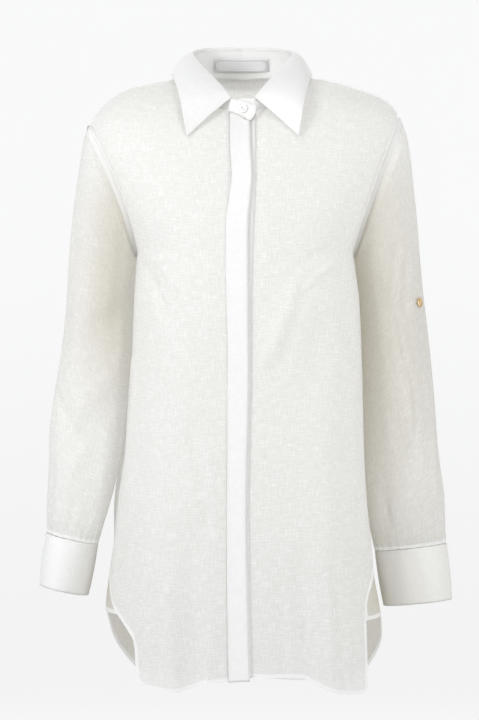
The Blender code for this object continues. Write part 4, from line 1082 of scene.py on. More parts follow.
def clear_of_body(side, grid):
    """Moves the inner side of the rings out to just clear of the body."""
    grid = grid.copy()
    sign = SIGN[side]
    least = body_side_x(side, grid[..., 1], grid[..., 2]) + SLEEVE_CLEARANCE
    low = grid[..., 2] < ARMPIT_Z - BODY_SIDE_BELOW
    distance = sign * grid[..., 0]
    grid[..., 0] = sign * np.where(low, np.maximum(distance, least), distance)
    return grid


def seam_band_grid(sleeve):
    """The turned seam allowance, on the inside of the sleeve along its armhole."""
    inner = sleeve - tube_normals(sleeve) * SEAM_BAND_INSET
    step = np.linalg.norm(np.diff(inner, axis=0), axis=-1)
    length = np.concatenate([np.zeros((1, inner.shape[1])), np.cumsum(step, axis=0)])
    rows = []
    for share in np.linspace(0, 1, SEAM_BAND_ROWS + 1):
        wanted = SEAM_BAND_START + (SEAM_BAND_WIDTH - SEAM_BAND_START) * share
        rows.append([[np.interp(wanted, length[:, j], inner[:, j, axis]) for axis in range(3)]
                     for j in range(inner.shape[1])])
    return np.array(rows)


def cuff_dent(side, degrees, share):
    """How far the dents of a cuff move it out, at degrees round it and a share of its depth."""
    height = np.zeros_like(degrees)
    for top, foot, half, out in CUFF_DENTS[side]:
        aside = (degrees - top - (foot - top) * share) / half
        height += out * np.exp(-aside ** 2) * smooth_step(share * 3)
    return height


def cuff_grid(side):
    """Rows of a cuff, whose two ends lap at the back of the wrist."""
    top, bottom = CUFF[side]
    rows = []
    turn = np.linspace(0, 360 + CUFF_LAP, CUFF_COLUMNS + 1)
    angle = np.radians(CUFF_OPENING + turn)
    start, span = CUFF_LAP_FROM
    lap = smooth_step((turn - start) / span) * (DOUBLE_WALL + GAP + CUFF_LAP_CLEAR)
    for share in np.linspace(0, 1, CUFF_ROWS + 1):
        x_out, z_out, x_in, z_in, y_mid, half = [a + (b - a) * share for a, b in zip(top, bottom)]
        belly = CUFF_BELLY * math.sin(math.pi * share)
        belly = belly + cuff_dent(side, np.degrees(angle) % 360, share)
        x = (x_out + x_in) / 2 + ((x_out - x_in) / 2 + lap + belly) * rounded(np.cos(angle))
        z = (z_out + z_in) / 2 + (z_out - z_in) / 2 * rounded(np.cos(angle))
        y = y_mid - (half + lap + belly) * rounded(np.sin(angle))
        rows.append(np.stack([SIGN[side] * x, y, z], axis=-1))
    return np.stack(rows)


def neck_seam_point(angle):
    """A point of the neck seam: 0 degrees at the front, 90 at the wearer's left, 180 behind."""
    side = "left" if math.sin(angle) >= 0 else "right"
    face = "front" if math.cos(angle) >= 0 else "back"
    x = NECK_HALF * abs(math.sin(angle))
    y = -(NECK_FRONT if face == "front" else NECK_BACK) * math.cos(angle)
    return shoulder_point(side, face, np.array(x), turn_for_y(side, face, np.array(x), y))


def stand_grid():
    """Rows of the collar stand, from its over end round the neck to its under end."""
    low, high = [], []
    for x in OVER_X:
        low.append([x, float(OVER_END["y_low"](x)), float(OVER_END["bottom"](x))])
        high.append([x, float(OVER_END["y_high"](x)), float(OVER_END["top"](x))])
    for degrees in np.linspace(-STAND_FROM, STAND_FROM - 360, STAND_COLUMNS + 1):
        angle = math.radians(degrees)
        outward = np.array([math.sin(angle), -math.cos(angle), 0.0])
        low.append(neck_seam_point(angle) + np.array([0.0, 0.0, STAND_LIFT]))
        turn = abs(math.degrees(math.atan2(math.sin(angle), math.cos(angle))))
        side = "left" if math.sin(angle) > 0 else "right"
        fold = collar_line(side, np.array(turn), "fold")
        high.append(fold - outward * STAND_IN - np.array([0.0, 0.0, STAND_BELOW_FOLD]))
    for x in UNDER_X:
        low.append([x, float(UNDER_END["y_low"](x)), float(UNDER_END["bottom"](x))])
        high.append([x, float(UNDER_END["y_high"](x)), float(UNDER_END["top"](x))])
    low, high = np.array(low)[None], np.array(high)[None]
    share = np.linspace(0, 1, STAND_ROWS + 1)[:, None, None]
    return low + (high - low) * share


def collar_line(side, turn, line):
    """The fold line or the outer edge of the collar, at degrees round from the front."""
    x = COLLAR["fold_x" if line == "fold" else side](turn)
    return np.stack([SIGN[side] * x, COLLAR[f"{line}_y"](turn), COLLAR[f"{line}_z"](turn)], axis=-1)


def collar_grid():
    """The turned-down collar, from the right front point round the back to the left one."""
    half = np.linspace(0, 1, COLLAR_COLUMNS + 1) ** COLLAR_CROWD * 180
    rows = []
    for share in np.linspace(0, 1, COLLAR_ROWS + 1):
        puff = COLLAR["puff"](half) * 4 * share * (1 - share)
        sides = {}
        for side in SIGN:
            fold, edge = collar_line(side, half, "fold"), collar_line(side, half, "edge")
            sides[side] = fold + (edge - fold) * share + puff[:, None] * np.array([0.0, 0.0, 1.0])
        rows.append(np.concatenate([sides["right"], sides["left"][::-1][1:]]))
    return np.array(rows)


def rolled(collar):
    """The collar with its roll: rows that come up from the inside of the stand over the fold."""
    fold = collar[0]
    outward = fold * np.array([1.0, 1.0, 0.0])
    outward = outward / np.linalg.norm(outward, axis=-1, keepdims=True)
    up = np.array([0.0, 0.0, 1.0])
    rows = [fold + outward * across + up * rise for across, rise in COLLAR_ROLL]
    return np.concatenate([np.array(rows), collar])


def point_on(grid, row, column):
    """A point between the points of a grid, at a row and column that need not be whole."""
    row = np.clip(row, 0, grid.shape[0] - 1.001)
    i, u = int(row), row - int(row)
    column = np.clip(column, 0, grid.shape[1] - 1.001)
    j, v = int(column), column - int(column)
    above = grid[i, j] * (1 - v) + grid[i, j + 1] * v
    below = grid[i + 1, j] * (1 - v) + grid[i + 1, j + 1] * v
    return above * (1 - u) + below * u


def row_for_z(grid, column, z):
    """The row at which a column of a grid has come down to a height."""
    heights = [point_on(grid, row, column)[2] for row in range(grid.shape[0])]
    return float(np.interp(-z, -np.array(heights), np.arange(grid.shape[0])))


def sleeve_spot(side, sleeve):
    """Row and column of a sleeve's button."""
    z, degrees = SLEEVE_BUTTON[side]
    column = ((degrees + 180) % 360) / 360 * SLEEVE_SIDES
    return row_for_z(sleeve, column, z), column


def tab_grid(side, sleeve):
    """The tab that hangs from the sleeve button, inside the sleeve."""
    normals = tube_normals(sleeve)
    column = sleeve_spot(side, sleeve)[1]
    z_top = SLEEVE_BUTTON[side][0] + TAB_ABOVE
    rows = []
    for share in np.linspace(0, 1, TAB_ROWS + 1):
        hang = GAP + TAB_HANG * smooth_step(share * 3)
        inner = sleeve - normals * (WALL / 2 + hang + TAB_WALL / 2)
        row = row_for_z(inner, column, z_top - TAB_LENGTH * share)
        across = point_on(inner, row, column + 2) - point_on(inner, row, column - 2)
        half = TAB_WIDTH / 2 / (np.linalg.norm(across) / 4)
        parts = np.linspace(-1, 1, TAB_COLUMNS + 1)
        rows.append([point_on(inner, row, column + half * part) for part in parts])
    return np.array(rows)


def label_grid(stand):
    """The plain label, on the inside of the stand at the back of the neck."""
    middle = len(OVER_X) + STAND_COLUMNS // 2
    half = LABEL_SIZE[0] / 2
    near = np.arange(middle - LABEL_NEAR, middle + LABEL_NEAR + 1)
    x_middle, z_middle = LABEL_MIDDLE
    x = np.linspace(x_middle - half, x_middle + half, LABEL_COLUMNS + 1)
    columns = np.interp(x, stand[STAND_ROWS // 2, near, 0], near)
    rows = []
    high = LABEL_SIZE[1] / 2
    for z in np.linspace(z_middle + high, z_middle - high, LABEL_ROWS + 1):
        row = []
        for column in columns:
            foot, head = point_on(stand, 0, column), point_on(stand, STAND_ROWS, column)
            point = foot + (head - foot) * (z - foot[2]) / (head[2] - foot[2])
            toward = np.array([point[0], point[1], 0.0])
            row.append(point - toward / np.linalg.norm(toward) * LABEL_IN)
        rows.append(row)
    return np.array(rows)


def surface_spot(grid, row, column, wall, centre):
    """The outer surface of a piece at a place of its grid, and the direction away from a centre."""
    point = point_on(grid, row, column)
    down = point_on(grid, row + 1, column) - point_on(grid, row - 1, column)
    across = point_on(grid, row, column + 1) - point_on(grid, row, column - 1)
    normal = np.cross(down, across)
    normal = normal / np.linalg.norm(normal)
    if normal @ (point - centre) < 0:
        normal = -normal
    return point + normal * wall / 2, normal


def grain_of(grid, start=None, level_row=0):
    """Place of each point along and across the threads, in millimetres, level at one row."""
    level = np.linalg.norm(np.diff(grid, axis=1)[..., :2], axis=-1)
    across = np.concatenate([np.zeros((grid.shape[0], 1)), np.cumsum(level, axis=1)], axis=1)
    if start is not None:
        across = across + start[:, None]
    steps = np.linalg.norm(np.diff(grid, axis=0), axis=-1)
    along = np.concatenate([np.zeros((1, grid.shape[1])), np.cumsum(steps, axis=0)])
    return across, along - along[level_row]


def near_line(grid, line):
    """Distance of each point from a line of points, and how far along the line it lies."""
    steps = np.linalg.norm(np.diff(line, axis=0), axis=-1)
    length = np.concatenate([[0.0], np.cumsum(steps)])
    places = np.arange(0, length[-1], LINE_STEP)
    dense = np.stack([np.interp(places, length, line[:, axis]) for axis in range(3)], axis=-1)
    tree = KDTree(len(dense))
    for index, point in enumerate(dense):
        tree.insert(tuple(point), index)
    tree.balance()
    found = [tree.find(tuple(point)) for point in grid.reshape(-1, 3)]
    distance = np.array([item[2] for item in found]).reshape(grid.shape[:2])
    along = places[np.array([item[1] for item in found])].reshape(grid.shape[:2])
    return distance, along


def make_cloth(name, grids, material, wall=None):
    """One piece of cloth from grids of points, each with its grain and its marks."""
    points, marks, faces, total = [], [], [], 0
    for piece in grids:
        grid = piece["grid"]
        shape = grid.shape[:2]
        far, none = np.full(shape, FAR), np.zeros(shape)
        hem = piece.get("hem", (far, none))
        columns = [piece["across"], piece["along"], np.full(shape, piece.get("seed", 0.0)),
                   hem[0], hem[1], piece.get("seam", far), piece.get("shade", none)]
        points.append(grid.reshape(-1, 3))
        marks.append(np.stack([column.reshape(-1) for column in columns], axis=-1))
        index = np.arange(shape[0] * shape[1]).reshape(shape) + total
        total += shape[0] * shape[1]
        around = [index[:-1, :-1], index[1:, :-1], index[1:, 1:], index[:-1, 1:]]
        corners = np.stack(around[::-1] if piece.get("turned") else around, axis=-1)
        faces.append(corners.reshape(-1, 4))
    points, marks = np.concatenate(points), np.concatenate(marks)
    keys = np.round(np.concatenate([points, marks[:, :1] / 10], axis=1), MERGE_DIGITS)
    _, first, merged = np.unique(keys, axis=0, return_index=True, return_inverse=True)
    points, marks = points[first], marks[first]
    kept = []
    for quad in merged.reshape(-1)[np.concatenate(faces)].tolist():
        corners = [corner for place, corner in enumerate(quad) if corner != quad[place - 1]]
        if len(set(corners)) > 2:
            kept.append(corners)
    data = bpy.data.meshes.new(name)
    data.from_pydata([tuple(point) for point in points * MM], [], kept)
    for label, kind, field, values in (("grain", "FLOAT_VECTOR", "vector", marks[:, :3]),
                                       ("edge", "FLOAT_VECTOR", "vector", marks[:, 3:6]),
                                       ("shade", "FLOAT", "value", marks[:, 6])):
        attribute = data.attributes.new(label, kind, "POINT")
        attribute.data.foreach_set(field, np.ascontiguousarray(values, np.float32).ravel())
    data.shade_smooth()
    data.materials.append(material)
    obj = bpy.data.objects.new(name, data)
    bpy.context.scene.collection.objects.link(obj)
    if wall:
        solid = obj.modifiers.new("Cloth wall", "SOLIDIFY")
        solid.thickness = wall * MM
        solid.offset = 0.0
    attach(obj, "root")
    return obj


def cut_of(grids):
    """Adds up the area of a piece's grids, in square metres, and does nothing more with it."""
    area = sum(cloth_area(piece["grid"]) for piece in grids)


def cloth_area(grid):
    """Area of a grid of points, in square metres."""
    first = grid[1:, 1:] - grid[:-1, :-1]
    second = grid[1:, :-1] - grid[:-1, 1:]
    return float(np.linalg.norm(np.cross(first, second), axis=-1).sum()) / 2 * MM * MM


class Value:
    """A number or colour that varies over a surface, with ordinary arithmetic."""

    def __init__(self, recipe, socket):
        self.recipe = recipe
        self.socket = socket

    def maths(self, operation, first, second=0.0, third=0.0):
        return self.recipe.node("ShaderNodeMath", {"operation": operation}, (first, second, third))

    def __add__(self, other):
        return self.maths("ADD", self, other)

    def __radd__(self, other):
        return self.maths("ADD", other, self)

    def __sub__(self, other):
        return self.maths("SUBTRACT", self, other)

    def __rsub__(self, other):
        return self.maths("SUBTRACT", other, self)

    def __mul__(self, other):
        return self.maths("MULTIPLY", self, other)

    def __rmul__(self, other):
        return self.maths("MULTIPLY", other, self)

    def __truediv__(self, other):
        return self.maths("DIVIDE", self, other)

    def __mod__(self, other):
        return self.maths("FLOORED_MODULO", self, other)

    def __abs__(self):
        return self.maths("ABSOLUTE", self)

    def least(self, other):
        return self.maths("MINIMUM", self, other)

    def most(self, other):
        return self.maths("MAXIMUM", self, other)

    def sine(self):
        return self.maths("SINE", self)

    def step(self, low, high):
        """0 below low, 1 above high, and soft between them."""
        return self.recipe.node("ShaderNodeMapRange", {"interpolation_type": "SMOOTHSTEP"},
                                {"Value": self, "From Min": low, "From Max": high})


class Recipe:
    """One material in the making, with the measurements that its surface carries."""

    def __init__(self, name):
        self.material = bpy.data.materials.new(name)
        self.material.use_nodes = True
        self.nodes = self.material.node_tree.nodes
        self.links = self.material.node_tree.links
        self.surface = self.nodes["Principled BSDF"]

    def node(self, kind, settings=None, inputs=(), output=0):
        made = self.nodes.new(kind)
        for key, value in (settings or {}).items():
            setattr(made, key, value)
        named = inputs.items() if isinstance(inputs, dict) else enumerate(inputs)
        for place, value in named:
            self.feed(made.inputs[place], value)
        return Value(self, made.outputs[output])

    def feed(self, socket, value):
        if isinstance(value, Value):
            self.links.new(value.socket, socket)
        else:
            socket.default_value = value

    def finish(self, through=0.0, **sockets):
        """Sets the surface, and lets a share of the light come through from behind."""
        for name, value in sockets.items():
            self.feed(self.surface.inputs[name.replace("_", " ").title()], value)
        if through:
            behind = {"Color": sockets["base_color"], "Normal": sockets["normal"]}
            glow = self.node("ShaderNodeBsdfTranslucent", {}, behind)
            front = Value(self, self.surface.outputs[0])
            mixed = self.node("ShaderNodeMixShader", {}, {0: through, 1: front, 2: glow})
            self.links.new(mixed.socket, self.nodes["Material Output"].inputs["Surface"])
        return self.material

    def measured(self, label):
        """The three numbers of a surface's own measurement."""
        vector = self.node("ShaderNodeAttribute", {"attribute_name": label}, (), "Vector")
        return [self.node("ShaderNodeSeparateXYZ", {}, (vector,), axis) for axis in range(3)]

    def amount(self, label):
        return self.node("ShaderNodeAttribute", {"attribute_name": label}, (), "Fac")

    def noise(self, x, y, z, detail=2.0, roughness=0.5):
        place = self.node("ShaderNodeCombineXYZ", {}, (x, y, z))
        return self.node("ShaderNodeTexNoise", {"noise_dimensions": "3D"},
                         {"Vector": place, "Scale": 1.0, "Detail": detail, "Roughness": roughness})

    def blend(self, share, first, second):
        """A colour between two, by a share."""
        mixed = self.node("ShaderNodeMix", {"data_type": "RGBA"}, {0: share}, 2)
        made = mixed.socket.node
        self.feed(made.inputs[6], first)
        self.feed(made.inputs[7], second)
        return mixed

    def bump(self, height, strength, distance):
        inputs = {"Height": height, "Strength": strength, "Distance": distance}
        return self.node("ShaderNodeBump", {}, inputs, "Normal")


def thread_marks(recipe, across, along, seed):
    """How thick the threads are at a place: long slubs both ways over a fine plain weave."""
    side, run = SLUB
    next_weft, thin_warp, thin_weft = PATTERN_STEPS
    warp = recipe.noise(across * side, along * run, seed, 3.0)
    weft = recipe.noise(across * run, along * side, seed + next_weft, 3.0)
    slubs = warp.step(*SLUB_FROM) + weft.step(*SLUB_FROM)
    side, run = THIN
    warp = recipe.noise(across * side, along * run, seed + thin_warp, 1.0)
    weft = recipe.noise(across * run, along * side, seed + thin_weft, 1.0)
    turns = math.pi / WEAVE_PITCH
    return slubs, warp + weft - 1.0, (across * turns).sine() * (along * turns).sine()


def dashes(along, length, share):
    """1 on each stitch and 0 between the stitches."""
    from_middle = abs((along % length) / length - 0.5)
    return 1.0 - from_middle.step(share / 2 - STITCH_SOFT, share / 2 + STITCH_SOFT)


def stitch_line(distance, place, along):
    """1 on the stitches of a row at one distance from an edge."""
    on_row = 1.0 - abs(distance - place).step(STITCH_HALF * 0.4, STITCH_HALF)
    return on_row * dashes(along, STITCH_LENGTH, STITCH_SHARE)


def turned_edge(distance, width):
    """1 where an edge is turned under, over a width."""
    before, after = TURN_SOFT
    return 1.0 - distance.step(width - before, width + after)


def weighed(base, weights, marks):
    """A base with marks added to it, each by its weight."""
    for weight, mark in zip(weights, marks):
        base = base + mark * weight
    return base


def sheer_linen():
    recipe = Recipe("sheer slub linen")
    across, along, seed = recipe.measured("grain")
    hem, hem_along, seam = recipe.measured("edge")
    doubled = turned_edge(hem, HEM_WIDTH).most(turned_edge(seam, SEAM_WIDTH))
    slubs, thin, weave = thread_marks(recipe, across, along, seed)
    hem_stitches = stitch_line(hem, HEM_WIDTH - STITCH_IN, hem_along)
    stitches = hem_stitches.most(stitch_line(seam, SEAM_WIDTH - STITCH_IN, across + along))
    cover = weighed(SHEER_COVER, SHEER_COVERS, (slubs, thin))
    cover = cover.most(doubled * TURNED_COVER).least(1.0)
    tone = weighed(SHEER_TONE, SHEER_TONES, (slubs, thin, doubled)).least(1.0).most(0.0)
    colour = recipe.blend(tone, LINEN_THIN, LINEN_THICK)
    colour = recipe.blend(doubled, colour, HEM_COLOUR)
    colour = recipe.blend(stitches * 0.5, colour, STITCH_COLOUR)
    # Painted shade from the shade attribute, weaker on turned edges
    colour = recipe.blend(recipe.amount("shade") * (1.0 - doubled * 0.8), colour, SHADE_COLOUR)
    height = weighed(0.0, SHEER_RELIEF, (slubs, thin, weave, doubled, stitches))
    return recipe.finish(SHEER_THROUGH, base_color=colour, alpha=cover, roughness=0.85,
                         sheen_weight=0.12, normal=recipe.bump(height, 0.7, 0.0003))


def double_linen():
    recipe = Recipe("double linen")
    across, along, seed = recipe.measured("grain")
    hem, hem_along = recipe.measured("edge")[:2]
    slubs, thin, weave = thread_marks(recipe, across, along, seed)
    stitches = stitch_line(hem, DOUBLE_STITCH_AT, hem_along)
    tone = weighed(DOUBLE_TONE, DOUBLE_TONES, (slubs, thin)).least(1.0).most(0.0)
    colour = recipe.blend(tone, DOUBLE_THIN, DOUBLE_THICK)
    colour = recipe.blend(stitches * 0.35, colour, STITCH_COLOUR)
    # Painted shade from the shade attribute
    colour = recipe.blend(recipe.amount("shade"), colour, SHADE_COLOUR)
    edge = 1.0 - hem.step(0.0, RIM_WIDTH)
    height = weighed(0.0, DOUBLE_RELIEF, (slubs, thin, weave, stitches, edge))
    return recipe.finish(DOUBLE_THROUGH, base_color=colour, roughness=0.82, sheen_weight=0.12,
                         normal=recipe.bump(height, 0.6, 0.0003))


def label_cloth():
    recipe = Recipe("label cloth")
    across, along = recipe.measured("grain")[:2]
    hem, hem_along = recipe.measured("edge")[:2]
    rib = (across * LABEL_RIB).sine() * (along * LABEL_RIB).sine()
    stitches = stitch_line(hem, LABEL_STITCH_AT, hem_along)
    colour = recipe.blend(stitches, LABEL_GREY, LABEL_STITCH)
    normal = recipe.bump(rib * 0.1 - stitches * 0.4, 0.5, 0.0002)
    return recipe.finish(base_color=colour, roughness=0.7, normal=normal)


def button_shell(name, pattern, edge, colours, roughness):
    """Cloudy shell for a button, between two colours."""
    recipe = Recipe(name)
    place = recipe.node("ShaderNodeTexCoord", {}, (), "Object")
    cloud = recipe.node("ShaderNodeTexNoise", {}, {"Vector": place, **pattern})
    colour = recipe.blend(cloud.step(*edge), *colours)
    return recipe.finish(base_color=colour, roughness=roughness, coat_weight=0.4)


def button_white():
    return button_shell("white shell button", {"Scale": 420.0, "Detail": 3.0}, (0.35, 0.7),
                        WHITE_SHELL, 0.22)


def button_honey():
    return button_shell("honey shell button", {"Scale": 300.0, "Detail": 4.0, "Distortion": 1.2},
                        (0.35, 0.65), HONEY_SHELL, 0.25)


def thread():
    recipe = Recipe("sewing thread")
    place = recipe.node("ShaderNodeTexCoord", {}, (), "Object")
    twist = recipe.node("ShaderNodeTexWave", {}, {"Vector": place, "Scale": 900.0})
    colour = recipe.blend(twist, *THREAD_COLOURS)
    return recipe.finish(base_color=colour, roughness=0.8)


def studio():
    recipe = Recipe("studio paper")
    place = recipe.node("ShaderNodeTexCoord", {}, (), "Object")
    grain = recipe.node("ShaderNodeTexNoise", {}, {"Vector": place, "Scale": 3.0, "Detail": 2.0})
    colour = recipe.blend(grain, *PAPER)
    height = recipe.node("ShaderNodeSeparateXYZ", {}, (place,), "Z")
    # Painted light: the paper glows by itself, dimmer toward the floor and brighter higher up
    glow = recipe.blend(height.step(*PAPER_GLOW_FADE), PAPER_GLOW_LOW, PAPER_GLOW_HIGH)
    return recipe.finish(base_color=colour, roughness=0.9, emission_color=glow,
                         emission_strength=PAPER_GLOW_STRENGTH)


def turn_profile(mesh, points, steps, merge):
    """Joins points into a profile and turns it round Z into a closed form."""
    edges = [mesh.edges.new(pair) for pair in zip(points, points[1:])]
    bmesh.ops.spin(mesh, geom=points + edges, cent=(0, 0, 0), axis=(0, 0, 1), angle=2 * math.pi,
                   steps=steps, use_merge=True)
    bmesh.ops.remove_doubles(mesh, verts=mesh.verts, dist=merge)
    bmesh.ops.recalc_face_normals(mesh, faces=mesh.faces)


def drilled(obj, name, kind, material):
    """The mesh of a button with its two thread holes cut and its edges polished."""
    _, thickness, hole, apart = BUTTON[kind]
    cutters = []
    for way in (-1, 1):
        mesh = bmesh.new()
        aside = Vector((way * apart, -way * apart, 0.0)) * math.sqrt(0.5) * MM
        bmesh.ops.create_cone(mesh, cap_ends=True, segments=HOLE_SIDES, radius1=hole * MM,
                              radius2=hole * MM, depth=4 * thickness * MM,
                              matrix=Matrix.Translation(aside))
        cutter = object_from(f"{name}_hole", mesh, material)
        cut = obj.modifiers.new("Thread hole", "BOOLEAN")
        cut.operation = "DIFFERENCE"
        cut.object = cutter
        cutters.append(cutter)
    bevel = obj.modifiers.new("Polished edge", "BEVEL")
    bevel.width = BUTTON_BEVEL * MM
    bevel.segments = 2
    graph = bpy.context.evaluated_depsgraph_get()
    shaped = bpy.data.meshes.new_from_object(obj.evaluated_get(graph))
    for used in (*cutters, obj):
        bpy.data.objects.remove(used, do_unlink=True)
    return shaped


def make_button(colour, node, spot, kind, material, thread_material):
    """A turned button with a raised rim, two holes and the thread that holds it."""
    name = f"{colour}_{node}"
    centre, normal = spot
    radius, thickness, _, apart = BUTTON[kind]
    aim = Vector(tuple(normal)).to_track_quat("Z", "Y")
    foot = Matrix.Translation(tuple((centre + normal * BUTTON_OFF) * MM))
    place = foot @ aim.to_matrix().to_4x4()
    mesh = bmesh.new()
    points = [mesh.verts.new((r * radius * MM, 0.0, h * thickness * MM)) for r, h in BUTTON_PROFILE]
    turn_profile(mesh, points, BUTTON_STEPS, BUTTON_MERGE)
    shaped = drilled(object_from(name, mesh, material), name, kind, material)
    mesh = bmesh.new()
    mesh.from_mesh(shaped)
    first_thread = len(mesh.faces)
    for shift in (-THREAD_ASIDE, THREAD_ASIDE):
        add_thread(mesh, apart, thickness * BUTTON_PROFILE[0][1], shift)
    for index, face in enumerate(mesh.faces):
        face.material_index = int(index >= first_thread)
        face.smooth = True
    obj = object_from(name, mesh, material, thread_material)
    obj.data.set_sharp_from_angle(angle=math.radians(BUTTON_SHARP))
    obj.data.transform(place)
    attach(obj, "root")
    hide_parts(node)


def add_thread(mesh, apart, top, shift):
    """One loop of thread, from one hole of a button up and over to the other."""
    along = np.array([1.0, -1.0, 0.0]) * math.sqrt(0.5)
    aside = np.array([1.0, 1.0, 0.0]) * math.sqrt(0.5)
    up = np.array([0, 0, 1.0])
    angle = np.linspace(0, 2 * math.pi, THREAD_SIDES + 1)[:-1]
    around = np.cos(angle)[:, None] * aside + np.sin(angle)[:, None] * up
    rings = []
    for share in np.linspace(-1, 1, THREAD_RINGS):
        centre = along * apart * share * THREAD_REACH + aside * shift
        centre[2] = top + THREAD_OVER - THREAD_DIVE * max(abs(share) - THREAD_BEND, 0.0)
        ring = centre + THREAD_RADIUS * around
        rings.append([mesh.verts.new(tuple(point * MM)) for point in ring])
    for first, second in zip(rings, rings[1:]):
        for index in range(THREAD_SIDES):
            after = (index + 1) % THREAD_SIDES
            mesh.faces.new((first[index], first[after], second[after], second[index]))


def object_from(name, mesh, *materials):
    data = bpy.data.meshes.new(name)
    mesh.to_mesh(data)
    mesh.free()
    for material in materials:
        data.materials.append(material)
    obj = bpy.data.objects.new(name, data)
    bpy.context.scene.collection.objects.link(obj)
    return obj


def rim(grid):
    """The outline of a grid without its first row."""
    return np.concatenate([grid[:, 0], grid[-1], grid[::-1, -1]])


def whole_rim(grid):
    return np.concatenate([rim(grid), grid[0, ::-1]])


def least_of(*distances):
    return np.minimum.reduce(distances)


def armhole_groove(grid, normals, rows):
    """Draws the panel in just beside its armhole seam, with the small puckers of the stitches."""
    distance, along = near_line(grid, grid[:rows, -1])
    inward = -GROOVE_DEPTH * np.exp(-((distance - GROOVE_AT) / GROOVE_HALF) ** 2)
    sway, sway_length = PUCKER_WANDER
    place, half = PUCKER_PLACE
    wave = np.sin(along / PUCKER_LENGTH + sway * np.sin(along / sway_length))
    pucker = PUCKER * wave * np.exp(-((distance - place) / half) ** 2)
    fade = smooth_step(distance / GROOVE_FADE)
    return grid + normals * ((inward + pucker) * fade)[..., None], distance * SEAM_ENDS["armhole"]


def front_piece(side):
    """One front with its grain, its hem and its seams."""
    grid = front_grid(side)
    level = NECK_ROWS + EDGE_ROWS + CHEST_ROWS
    grid, armhole = armhole_groove(grid, SIGN[side] * grid_normals(grid), level + 1)
    across, along = grain_of(grid, SIGN[side] * grid[:, 0, 0], level)
    hem = near_line(grid, grid[-1])
    sides = near_line(grid, grid[level:, -1])[0]
    shoulder = near_line(grid, grid[0])[0] * SEAM_ENDS["shoulder"]
    return {"grid": grid, "across": across * SIGN[side], "along": along,
            "seed": SEED["front"] + SIGN[side], "hem": hem,
            "seam": least_of(sides, shoulder, armhole), "turned": side == "right"}


def inside_shade(grid):
    """Warm shade inside the low part of the back, toward its sides."""
    z_start, z_span = INSIDE_SHADE_DOWN
    x_start, x_span = INSIDE_SHADE_ASIDE
    down = smooth_step((z_start - grid[..., 2]) / z_span)
    return INSIDE_SHADE * down * smooth_step((np.abs(grid[..., 0]) - x_start) / x_span)


def back_pieces():
    """Both halves of the back, each with the flap that passes forward below its notch."""
    pieces = []
    for side, sign in SIGN.items():
        grid = back_half_grid(side)
        grid, armhole = armhole_groove(grid, -sign * grid_normals(grid), BACK_ROWS + 1)
        across, along = grain_of(grid, None, BACK_ROWS)
        notch = BACK_ROWS + NOTCH_ROW
        flap = back_flap_grid(side, grid[notch:, -1])
        flap_across = grain_of(flap, across[notch:, -1])[0]
        flap_along = np.repeat(along[notch:, -1:], flap.shape[1], axis=1)
        bottom = np.concatenate([grid[-1], flap[-1], flap[::-1, -1]])
        sides = near_line(grid, grid[BACK_ROWS:notch + 1, -1])[0]
        yoke = near_line(grid, grid[0])[0] * SEAM_ENDS["yoke"]
        seams = {"seam": least_of(sides, yoke, armhole)}
        rows = (grid, across, along, seams), (flap, flap_across, flap_along, {})
        for part, part_across, part_along, edges in rows:
            pieces.append({"grid": part, "across": part_across * sign, "along": part_along,
                           "seed": SEED["back"], "hem": near_line(part, bottom),
                           "turned": side == "left", "shade": inside_shade(part), **edges})
    return pieces


def yoke_pieces():
    """Both halves of the yoke, whose threads run over the shoulder."""
    pieces = []
    for side, sign in SIGN.items():
        grid = yoke_half_grid(side)
        grid, armhole = armhole_groove(grid, -sign * grid_normals(grid), len(grid))
        along = YOKE_THREAD[0] * grid[..., 1] - YOKE_THREAD[1] * grid[..., 2]
        seam = least_of(near_line(grid, grid[0])[0], near_line(grid, grid[-1])[0], armhole)
        pieces.append({"grid": grid, "across": grid[..., 0], "along": along,
                       "seed": SEED["yoke"], "seam": seam, "turned": side == "left"})
    return pieces


def strip_piece(side, front, away, seed):
    """The strip of cloth along a front's edge, moved out from it, with its edges marked."""
    raised = front["grid"] + SIGN[side] * grid_normals(front["grid"]) * away
    grid = raised[NECK_ROWS:, :BAND_COLUMNS + 1]
    across = front["across"][NECK_ROWS:, :BAND_COLUMNS + 1]
    along = front["along"][NECK_ROWS:, :BAND_COLUMNS + 1]
    edge = np.minimum(np.abs(across - across[:, :1]), np.abs(across - across[:, -1:]))
    x_middle, half = STRIP_MIDDLE
    middle = np.exp(-((grid[0, :, 0] - x_middle) / half) ** 2)
    grid[0, :, 1] += STRIP_TUCK[0] + STRIP_TUCK[1] * middle
    grid[0, :, 2] += STRIP_TUCK[2] + STRIP_TUCK[3] * middle
    return {"grid": grid, "across": across, "along": along, "seed": seed, "hem": (edge, along)}


def from_outer_edge(degrees):
    """Degrees away from the outer edge of an arm, either way round."""
    return np.abs((degrees + 180) % 360 - 180)


def soft_shade(side, turn, z):
    """How deep the cloth of an arm lies in the shade of the body, round it and down it."""
    inner = from_outer_edge(turn)
    start, span, end, fade, share = ARM_SHADE_DOWN[side]
    low = 1 - share * smooth_step((end - z) / fade)
    if side == "right":
        depth, middle, half = ARM_SHADE[side]
        around = depth * np.exp(-((inner - middle) / half) ** 2)
    else:
        least, rise, reached = ARM_SHADE[side]
        around = least + rise * smooth_step(inner / reached)
    return around * smooth_step((start - z) / span) * low


